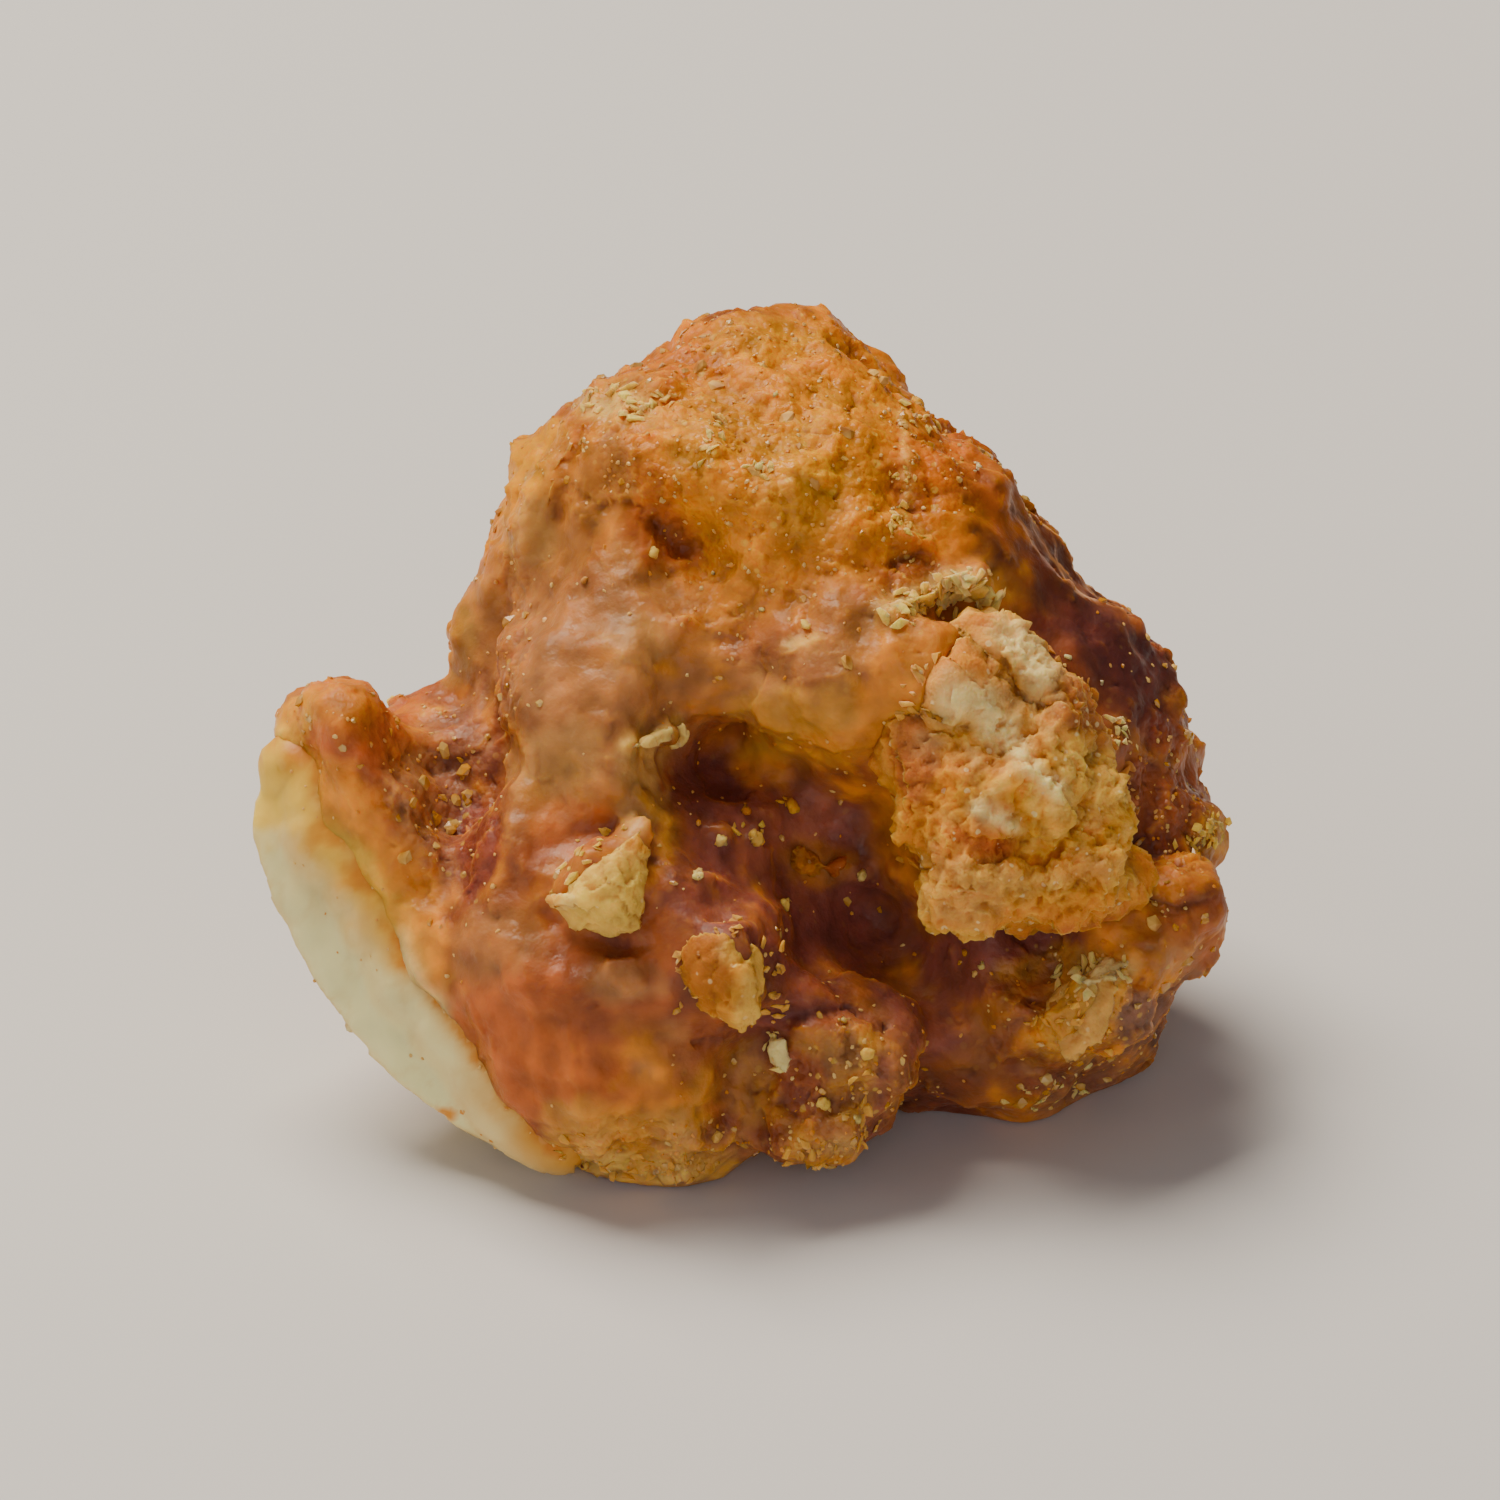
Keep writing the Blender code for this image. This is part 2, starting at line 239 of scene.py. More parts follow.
@dataclass(frozen=True)
class Relief:
    """One layer of unevenness: its kind, its wavelength and its height, in millimetres."""

    grain: Grain
    wavelength: float
    height: float
    seed: int

    def at(self, spot: Vector) -> float:
        """Works out the layer's form, for a wavelength and a height of one.

        Args:
            spot: the place.

        Returns:
            The form's value, about even round zero.
        """
        if self.grain is Grain.SWELL:
            return noise.noise(spot)
        if self.grain is Grain.RIDGE:
            return RIDGE_TOP - RIDGE_SLOPE * abs(noise.noise(spot))
        if self.grain is Grain.PEBBLE:
            return PEBBLE_TOP - noise.voronoi(spot)[0][0]
        if self.grain is Grain.SHARD:
            centre = noise.voronoi(spot)[1][0]
            tilt = noise.cell_vector(centre * SHARD_SPREAD) - HALF
            return (spot - centre).dot(tilt) * SHARD_TILT + tilt.x * SHARD_STEP
        level = noise.noise(spot) * LEDGE_COUNT
        step = math.floor(level)
        rest = min(max((level - step - LEDGE_TREAD) / LEDGE_RISER, 0.0), 1.0)
        return (step + rest) / LEDGE_COUNT

    def heights(self, spots: np.ndarray) -> np.ndarray:
        """The layer's height at each spot, in millimetres, about even round zero."""
        shifted = spots / self.wavelength + SEED_STEP * (self.seed + 1)
        return self.height * np.array([self.at(Vector(spot)) for spot in shifted.tolist()])


def heaped(reliefs: Sequence[Relief], spots: np.ndarray) -> np.ndarray:
    """Several layers' heights, one on the other."""
    return sum(layer.heights(spots) for layer in reliefs)


def swells(spots: np.ndarray, wavelength: float, seed: int, height: float = 1.0) -> np.ndarray:
    """The heights of one layer of soft swells."""
    return Relief(Grain.SWELL, wavelength, height, seed).heights(spots)


@dataclass(frozen=True)
class Zone:
    """A patch of the front, as a turned ellipse with uneven edges; without a tone, it only marks a place."""

    across: float
    rise: float
    half_width: float
    half_height: float
    tone: Tone | None
    strength: float = 0.9
    turn: float = 0.0

    def share(self, spots: np.ndarray, wobble: np.ndarray) -> np.ndarray:
        """Works out how far each point belongs to the zone.

        Args:
            spots: places in leaning millimetres.
            wobble: unevenness for the zone's edge, about even round zero.

        Returns:
            Shares from 0 to the zone's strength.
        """
        cos, sin = math.cos(math.radians(self.turn)), math.sin(math.radians(self.turn))
        right, up = spots[:, 0] - self.across, spots[:, 1] - self.rise
        wide = (right * cos + up * sin) / self.half_width
        high = (up * cos - right * sin) / self.half_height
        return self.strength * (1.0 - smooth_step(np.hypot(wide, high) + wobble, *ZONE_EDGE))


@dataclass(frozen=True)
class Stroke:
    """A raised or sunk line across the front, with its colour, in millimetres."""

    path: tuple[tuple[float, float], ...]
    width: float
    height: float
    tone: Tone
    strength: float = 0.8

    def share(self, spots: np.ndarray, wobble: np.ndarray) -> np.ndarray:
        """Works out how near each point is to the line.

        Args:
            spots: places in leaning millimetres.
            wobble: unevenness for the line's edge, about even round zero.

        Returns:
            Shares from 0 to 1.
        """
        near = np.full(len(spots), np.inf)
        flat = spots[:, :2]
        for start, end in zip(self.path, self.path[1:]):
            first, reach = np.array(start), np.array(end) - np.array(start)
            along = np.clip((flat - first) @ reach / (reach @ reach), 0.0, 1.0)
            near = np.minimum(near, np.linalg.norm(flat - first - along[:, None] * reach, axis=1))
        return np.exp(-((near / self.width * (1.0 + wobble)) ** 2))


class Skin:
    """A mesh's points and normals as arrays, with the sculpting and painting that the pieces share."""

    def __init__(self, mesh: bpy.types.Mesh) -> None:
        """Reads the mesh.

        Args:
            mesh: the mesh to work on.
        """
        self.mesh = mesh
        self.points = self.read("co")
        self.normals = self.read("normal")

    def read(self, name: str) -> np.ndarray:
        """Reads one vector for each of the mesh's points.

        Args:
            name: the vector's name.

        Returns:
            The vectors, one a row.
        """
        flat = np.empty(len(self.mesh.vertices) * 3, np.float32)
        self.mesh.vertices.foreach_get(name, flat)
        return flat.reshape(-1, 3).astype(float)

    @property
    def spots(self) -> np.ndarray:
        """The points in leaning millimetres."""
        return leaning(self.points)

    @property
    def front(self) -> np.ndarray:
        """How far each point faces the camera, from 0 to 1, without the clump's far side."""
        near = 1.0 - smooth_step(self.spots[:, 2], *FAR_SIDE)
        return smooth_step(-self.normals @ AXES[2], *FACING) * near

    def above(self, low: float, high: float) -> np.ndarray:
        """How far each point is clear of the floor, from 0 at one height to 1 at another, in millimetres."""
        return smooth_step(self.points[:, 2] / MM, low, high)

    def gaps(self, tree: BVHTree) -> np.ndarray:
        """How far each point is from another surface, in millimetres."""
        return np.array([tree.find_nearest(Vector(point))[3] / MM for point in self.points])

    def even(self, rounds: int) -> np.ndarray:
        """Averages the points with their neighbours' along the edges.

        Args:
            rounds: how many times.

        Returns:
            The evened points.
        """
        ends = np.empty(len(self.mesh.edges) * 2, np.int32)
        self.mesh.edges.foreach_get("vertices", ends)
        first, second = ends.reshape(-1, 2).T
        count = len(self.points)
        links = np.bincount(first, minlength=count) + np.bincount(second, minlength=count)
        values = self.points
        for _ in range(rounds):
            sums = [
                np.bincount(first, column[second], count) + np.bincount(second, column[first], count)
                for column in values.T
            ]
            values = (1.0 - EVEN_PULL) * values + EVEN_PULL * np.stack(sums, 1) / links[:, None]
        return values

    def hollows(self, rounds: int) -> np.ndarray:
        """How far each point lies under its evened surroundings, in millimetres; bumps are negative."""
        return np.einsum("ij,ij->i", self.even(rounds) - self.points, self.normals) / MM

    def swell(self, heights: np.ndarray) -> None:
        """Moves the points out along their normals by heights in millimetres."""
        self.points = self.points + self.normals * heights[:, None] * MM

    def draw(self, strokes: Sequence[Stroke], seed: int) -> None:
        """Raises and sinks strokes on the front, towards the camera.

        Args:
            strokes: the strokes.
            seed: which unevenness their edges get.
        """
        spots = self.spots
        wobble = swells(spots, 0.6, seed, 0.7)
        rise = sum(stroke.height * stroke.share(spots, wobble) for stroke in strokes) * self.front
        self.points = self.points - np.outer(rise * MM, AXES[2])
        self.store()

    def store(self, lowest: float | None = None) -> None:
        """Writes the points back, and reads the new normals.

        Args:
            lowest: how high above the floor the points stay, in millimetres, where they could come near it.
        """
        if lowest is not None:
            self.points[:, 2] = np.maximum(self.points[:, 2], lowest * MM)
        self.mesh.vertices.foreach_set("co", self.points.astype(np.float32).ravel())
        self.mesh.update()
        self.normals = self.read("normal")

    def strongest(self, amount: np.ndarray, zones: Sequence[Zone], wobble: np.ndarray) -> np.ndarray:
        """Raises an amount to what zones of the front ask for.

        Args:
            amount: the amount at each point so far.
            zones: the zones.
            wobble: unevenness for their edges.

        Returns:
            The larger amounts.
        """
        spots, front = self.spots, self.front
        for zone in zones:
            amount = np.maximum(amount, zone.share(spots, wobble) * front)
        return amount

    def laid(self, colours: np.ndarray, marks: Sequence[Zone | Stroke], seed: int) -> np.ndarray:
        """Lays zones and strokes over colours, in order.

        Args:
            colours: the colours beneath.
            marks: the zones and strokes, lowest first.
            seed: which unevenness their edges get.

        Returns:
            The new colours.
        """
        spots, front = self.spots, self.front
        wobble = swells(spots, 1.5, seed, 0.5) + swells(spots, 0.45, seed, 0.35)
        for mark in marks:
            share = mark.share(spots, wobble) * front
            if isinstance(mark, Stroke):
                share = share * mark.strength
            colours = washed(colours, mark.tone, share)
        return colours

    def paint(self, colours: np.ndarray, **marks: np.ndarray) -> None:
        """Stores what the materials and the scatters read.

        Args:
            colours: a linear colour for each point.
            marks: further numbers for each point, by name, such as how gritty it is.
        """
        layer = self.mesh.color_attributes.new("tone", "FLOAT_COLOR", "POINT")
        rgba = np.ones((len(colours), 4), np.float32)
        rgba[:, :3] = np.clip(colours, 0.0, 1.0)
        layer.data.foreach_set("color", rgba.ravel())
        for name, values in marks.items():
            mark = self.mesh.attributes.new(name, "FLOAT", "POINT")
            mark.data.foreach_set("value", values.astype(np.float32))


def tree_of(mesh: bpy.types.Mesh) -> BVHTree:
    """Makes a search tree of a surface.

    Args:
        mesh: the surface.

    Returns:
        The tree.
    """
    points = bmesh.new()
    points.from_mesh(mesh)
    tree = BVHTree.FromBMesh(points)
    points.free()
    return tree


def piece_from(name: str, data: bpy.types.ID) -> bpy.types.Object:
    """Puts a mesh, a lamp or a camera in the scene.

    Args:
        name: the object's name.
        data: what the object holds.

    Returns:
        The object, at the origin.
    """
    obj = bpy.data.objects.new(name, data)
    bpy.context.scene.collection.objects.link(obj)
    return obj


def mesh_from(name: str, body: bmesh.types.BMesh) -> bpy.types.Mesh:
    """Turns a bmesh into a mesh.

    Args:
        name: the mesh's name.
        body: the bmesh, which is freed.

    Returns:
        The mesh.
    """
    mesh = bpy.data.meshes.new(name)
    body.to_mesh(mesh)
    body.free()
    return mesh


def baked(obj: bpy.types.Object) -> bpy.types.Mesh:
    """Applies an object's modifiers and gives it the resulting mesh.

    Args:
        obj: the object with modifiers.

    Returns:
        The plain mesh.
    """
    seen = obj.evaluated_get(bpy.context.evaluated_depsgraph_get())
    mesh = bpy.data.meshes.new_from_object(seen)
    obj.modifiers.clear()
    obj.data = mesh
    return mesh


def merged_copy(source: bpy.types.Object, name: str) -> bpy.types.Object:
    """Copies a CAD node and joins its loose triangles.

    Args:
        source: the node.
        name: the copy's name.

    Returns:
        The copy.
    """
    body = bmesh.new()
    body.from_mesh(source.data)
    bmesh.ops.remove_doubles(body, verts=body.verts, dist=SAME_POINT)
    return piece_from(name, mesh_from(name, body))


def reskinned(obj: bpy.types.Object, cell: float, rounds: int) -> Skin:
    """Gives a piece one even, closed, fine skin.

    Args:
        obj: the piece.
        cell: the skin's cell, in millimetres.
        rounds: how many times the skin is smoothed.

    Returns:
        The new skin.
    """
    skin = obj.modifiers.new("skin", "REMESH")
    skin.mode = "VOXEL"
    skin.voxel_size = cell * MM
    ease = obj.modifiers.new("ease", "SMOOTH")
    ease.factor = 0.5
    ease.iterations = rounds
    return Skin(baked(obj))


def lightened(obj: bpy.types.Object, triangles: int) -> Skin:
    """Thins a piece's mesh where it is flattest, to a number of triangles.

    Args:
        obj: the piece.
        triangles: how many triangles to keep.

    Returns:
        The new skin.
    """
    obj.data.calc_loop_triangles()
    thin = obj.modifiers.new("thin", "DECIMATE")
    thin.ratio = min(1.0, triangles / len(obj.data.loop_triangles))
    return Skin(baked(obj))


def dress(obj: bpy.types.Object, material: bpy.types.Material, slot: str, *nodes: str) -> bpy.types.Object:
    """Gives a finished piece its material and its body, and hides the nodes it stands for.

    Args:
        obj: the piece.
        material: its material.
        slot: not used.
        nodes: the CAD nodes it replaces.

    Returns:
        The same piece.
    """
    obj.data.materials.clear()
    obj.data.materials.append(material)
    obj.data.shade_smooth()
    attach(obj, "root")
    if nodes:
        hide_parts(*nodes)
    obj.data.calc_loop_triangles()
    LOG.info("%s: %d triangles", obj.name, len(obj.data.loop_triangles))
    return obj


def feed(node: bpy.types.Node, feeds: dict | Sequence) -> None:
    """Sets and links a node's inputs.

    Args:
        node: the node.
        feeds: a value or a socket for each input, by its name or number, or in the inputs' order.
    """
    for key, value in feeds.items() if isinstance(feeds, dict) else enumerate(feeds):
        if isinstance(value, bpy.types.NodeSocket):
            node.id_data.links.new(value, node.inputs[key])
        else:
            node.inputs[key].default_value = value


def add_node(
    tree: bpy.types.NodeTree, kind: str, feeds: dict | Sequence = (), **settings: object
) -> bpy.types.Node:
    """Adds a node with its settings and links.

    Args:
        tree: the tree to add to.
        kind: the node's type.
        feeds: what goes into its inputs.
        settings: the node's own properties.

    Returns:
        The node.
    """
    node = tree.nodes.new(kind)
    for name, value in settings.items():
        setattr(node, name, value)
    feed(node, feeds)
    return node


def plain_material(name: str) -> tuple[bpy.types.Material, bpy.types.Node]:
    """Starts a material.

    Args:
        name: the material's name.

    Returns:
        The material and its shader.
    """
    material = bpy.data.materials.new(name)
    material.use_nodes = True
    return material, material.node_tree.nodes["Principled BSDF"]


@dataclass(frozen=True)
class FoodFinish:
    """A food surface: a painted tone with mottling, pale flecks, patchy gloss and a grain in two sizes."""

    name: str
    mottle_mm: float
    mottle: float
    fleck: Tone
    fleck_mm: float
    fleck_share: float
    rough_low: float
    rough_high: float
    grain_mm: float
    grain_height_mm: float
    fine_mm: float
    fine_height_mm: float
    specular: float
    glow: float
    glow_mm: float
    glow_radius: tuple[float, float, float]
    gloss_mm: float = 0.7

    def material(self) -> bpy.types.Material:
        """Builds the material.

        Returns:
            The new material.
        """
        material, shader = plain_material(self.name)
        tree = material.node_tree
        where = add_node(tree, "ShaderNodeTexCoord").outputs["Object"]
        tone = add_node(tree, "ShaderNodeAttribute", attribute_name="tone").outputs["Color"]
        grit = add_node(tree, "ShaderNodeAttribute", attribute_name="grit").outputs["Fac"]
        cloud, patchy, grain = (
            add_node(
                tree, "ShaderNodeTexNoise", {"Vector": where, "Scale": 1 / (size * MM), "Detail": detail}
            ).outputs["Fac"]
            for size, detail in ((self.mottle_mm, 5.0), (self.gloss_mm, 3.0), (self.grain_mm, 4.0))
        )
        cells, fine = (
            add_node(tree, "ShaderNodeTexVoronoi", {"Vector": where, "Scale": 1 / (size * MM)}).outputs
            for size in (self.fleck_mm, self.fine_mm)
        )
        value = add_node(tree, "ShaderNodeMapRange", (cloud, *MOTTLE_SPAN, 1 - self.mottle, 1 + self.mottle))
        shaded = add_node(tree, "ShaderNodeHueSaturation", {"Value": value.outputs[0], "Color": tone})
        # Nearly half of the cells hold a fleck, each with its own size and a soft edge.
        size = add_node(tree, "ShaderNodeSeparateColor", (cells["Color"],))
        edge = add_node(tree, "ShaderNodeMapRange", (size.outputs["Red"], *FLECK_CELLS, *FLECK_REACH))
        gap = add_node(tree, "ShaderNodeMath", (edge.outputs[0], cells["Distance"]), operation="SUBTRACT")
        spot = add_node(tree, "ShaderNodeMapRange", (gap.outputs[0], *FLECK_EDGE, 0.0, self.fleck_share))
        picked = add_node(
            tree, "ShaderNodeMath", (spot.outputs[0], grit), operation="MULTIPLY", use_clamp=True
        )
        mixed = {0: picked.outputs[0], 6: shaded.outputs[0], 7: (*self.fleck.rgb, 1.0)}
        flecked = add_node(tree, "ShaderNodeMix", mixed, data_type="RGBA")
        rough = add_node(tree, "ShaderNodeMapRange", (patchy, *GLOSS_SPAN, self.rough_low, self.rough_high))
        lower = add_node(tree, "ShaderNodeBump", {"Distance": self.grain_height_mm * MM, "Height": grain})
        grains = {"Strength": grit, "Distance": self.fine_height_mm * MM, "Height": fine["Distance"]}
        upper = add_node(tree, "ShaderNodeBump", {**grains, "Normal": lower.outputs[0]}, invert=True)
        inputs = {
            "Base Color": flecked.outputs[2],
            "Roughness": rough.outputs[0],
            "Normal": upper.outputs[0],
            "IOR": FOOD_IOR,
            "Metallic": 0.0,
            "Specular IOR Level": self.specular,
            "Subsurface Weight": self.glow,
            "Subsurface Scale": self.glow_mm * MM,
            "Subsurface Radius": self.glow_radius,
        }
        feed(shader, inputs)
        return material


# Cooked caramel, poured and cooled: translucent amber that glows where it is thin, with a dull uneven sheen.
COOKED_CARAMEL = FoodFinish(
    name="cooked_caramel_cooled",
    mottle_mm=1.3,
    mottle=0.28,
    fleck=Tone.LEMON,
    fleck_mm=0.4,
    fleck_share=0.35,
    rough_low=0.28,
    rough_high=0.6,
    grain_mm=0.4,
    grain_height_mm=0.07,
    fine_mm=0.22,
    fine_height_mm=0.06,
    specular=0.2,
    glow=0.6,
    glow_mm=1.0,
    glow_radius=(1.0, 0.38, 0.1),
)

# Split roasted cashew: dense, smooth, waxy cream flesh with a faint grain and a soft satin light.
ROASTED_CASHEW = FoodFinish(
    name="roasted_cashew_split_face",
    mottle_mm=2.0,
    mottle=0.08,
    fleck=Tone.IVORY,
    fleck_mm=0.6,
    fleck_share=0.3,
    rough_low=0.42,
    rough_high=0.58,
    grain_mm=0.6,
    grain_height_mm=0.04,
    fine_mm=0.2,
    fine_height_mm=0.012,
    specular=0.28,
    glow=0.25,
    glow_mm=1.0,
    glow_radius=(1.0, 0.8, 0.5),
)

# Crushed nut bound with sugar: dry, rough and matt, cream where it is bare and ochre where caramel soaked in.
CRUSHED_NUT = FoodFinish(
    name="crushed_nut_and_sugar",
    mottle_mm=0.9,
    mottle=0.2,
    fleck=Tone.SUGAR,
    fleck_mm=0.3,
    fleck_share=0.6,
    rough_low=0.5,
    rough_high=0.75,
    grain_mm=0.25,
    grain_height_mm=0.05,
    fine_mm=0.12,
    fine_height_mm=0.03,
    specular=0.18,
    glow=0.6,
    glow_mm=0.9,
    glow_radius=(1.0, 0.6, 0.25),
)


@dataclass(frozen=True)
class SugarFinish:
    """Small, half-clear, angular grains that have set on the caramel, some amber and some pale."""

    name: str
    pale: Tone
    amber: Tone
    clearness: float
    roughness: float
    patch_mm: float = 0.5

    def material(self) -> bpy.types.Material:
        """Builds the material.

        Returns:
            The new material.
        """
        material, shader = plain_material(self.name)
        tree = material.node_tree
        where = add_node(tree, "ShaderNodeTexCoord").outputs["Object"]
        patches = {"Vector": where, "Scale": 1 / (self.patch_mm * MM), "Detail": 1.0}
        cloud = add_node(tree, "ShaderNodeTexNoise", patches)
        share = add_node(tree, "ShaderNodeMapRange", (cloud.outputs["Fac"], *SUGAR_SPAN))
        mixed = {0: share.outputs[0], 6: (*self.amber.rgb, 1.0), 7: (*self.pale.rgb, 1.0)}
        tint = add_node(tree, "ShaderNodeMix", mixed, data_type="RGBA")
        inputs = {
            "Base Color": tint.outputs[2],
            "Roughness": self.roughness,
            "IOR": FOOD_IOR,
            "Transmission Weight": self.clearness,
        }
        feed(shader, inputs)
        return material


@dataclass(frozen=True)
class GrainScatter:
    """A Geometry Nodes tree that sows angular grains over a surface, more of them where a mark is high."""

    name: str
    per_mm2: float
    smallest_mm: float
    largest_mm: float
    seed: int
    mark: str = "grit"
    rounds: int = 1
    jag: float = 0.35

    def tree(self) -> bpy.types.NodeTree:
        """Builds the tree: points by the mark, an angular grain on each, then plain mesh with the material.

        Returns:
            The node tree.
        """
        tree = bpy.data.node_groups.new(self.name, "GeometryNodeTree")
        inputs = {
            "Geometry": ("Geometry",),
            "Float": ("Density", "Smallest", "Largest"),
            "Int": ("Seed", "Rounds"),
            "Material": ("Material",),
        }
        for kind, names in inputs.items():
            for name in names:
                tree.interface.new_socket(name, in_out="INPUT", socket_type=f"NodeSocket{kind}")
        tree.interface.new_socket("Geometry", in_out="OUTPUT", socket_type="NodeSocketGeometry")
        given = add_node(tree, "NodeGroupInput").outputs
        mark = add_node(tree, "GeometryNodeInputNamedAttribute", {"Name": self.mark}, data_type="FLOAT")
        thick = add_node(tree, "ShaderNodeMath", (given["Density"], mark.outputs[0]), operation="MULTIPLY")
        sowing = {"Mesh": given["Geometry"], "Density": thick.outputs[0], "Seed": given["Seed"]}
        sown = add_node(tree, "GeometryNodeDistributePointsOnFaces", sowing)
        sizes = {2: given["Smallest"], 3: given["Largest"], "Seed": given["Seed"]}
        size = add_node(tree, "FunctionNodeRandomValue", sizes, data_type="FLOAT")
        squash, turn, chipped = (
            add_node(
                tree, "FunctionNodeRandomValue", {0: low, 1: high, "Seed": seed}, data_type="FLOAT_VECTOR"
            ).outputs[0]
            for low, high, seed in (
                ((0.7, 0.6, 0.4), (1.3, 1.1, 0.8), 3),
                ((-0.5, -0.5, 0.0), (0.5, 0.5, math.tau), 5),
                ((-1.0, -1.0, -1.0), (1.0, 1.0, 1.0), 9),
            )
        )
        scale = add_node(tree, "ShaderNodeVectorMath", {0: squash, 3: size.outputs[1]}, operation="SCALE")
        grain = add_node(tree, "GeometryNodeMeshIcoSphere", {"Radius": 1.0, "Subdivisions": given["Rounds"]})
        facing = add_node(
            tree, "FunctionNodeRotateRotation", (sown.outputs["Rotation"], turn), rotation_space="LOCAL"
        )
        copies = {
            "Points": sown.outputs["Points"],
            "Instance": grain.outputs["Mesh"],
            "Rotation": facing.outputs[0],
            "Scale": scale.outputs[0],
        }
        grains = add_node(tree, "GeometryNodeInstanceOnPoints", copies)
        solid = add_node(tree, "GeometryNodeRealizeInstances", (grains.outputs[0],))
        reach = add_node(tree, "ShaderNodeMath", (given["Smallest"], self.jag), operation="MULTIPLY")
        shift = add_node(tree, "ShaderNodeVectorMath", {0: chipped, 3: reach.outputs[0]}, operation="SCALE")
        moved = {"Geometry": solid.outputs[0], "Offset": shift.outputs[0]}
        rough = add_node(tree, "GeometryNodeSetPosition", moved)
        dressed = {"Geometry": rough.outputs[0], "Material": given["Material"]}
        last = add_node(tree, "GeometryNodeSetMaterial", dressed)
        add_node(tree, "NodeGroupOutput", (last.outputs[0],))
        return tree

    def over(self, host: bpy.types.Mesh, material: bpy.types.Material) -> bpy.types.Object:
        """Sows the grains over a mesh that has the mark as an attribute.

        Args:
            host: the surface.
            material: the grains' material.

        Returns:
            The grains, as one plain mesh object.
        """
        obj = piece_from(self.name, host.copy())
        tree = self.tree()
        scatter = obj.modifiers.new("scatter", "NODES")
        scatter.node_group = tree
        values = {
            "Density": self.per_mm2 / MM**2,
            "Smallest": self.smallest_mm * MM,
            "Largest": self.largest_mm * MM,
            "Seed": self.seed,
            "Rounds": self.rounds,
            "Material": material,
        }
        for item in tree.interface.items_tree:
            if item.in_out == "INPUT" and item.name in values:
                scatter[item.identifier] = values[item.name]
        mesh = baked(obj)
        for name in ("tone", "grit", "pool"):
            if name in mesh.attributes:
                mesh.attributes.remove(mesh.attributes[name])
        return obj


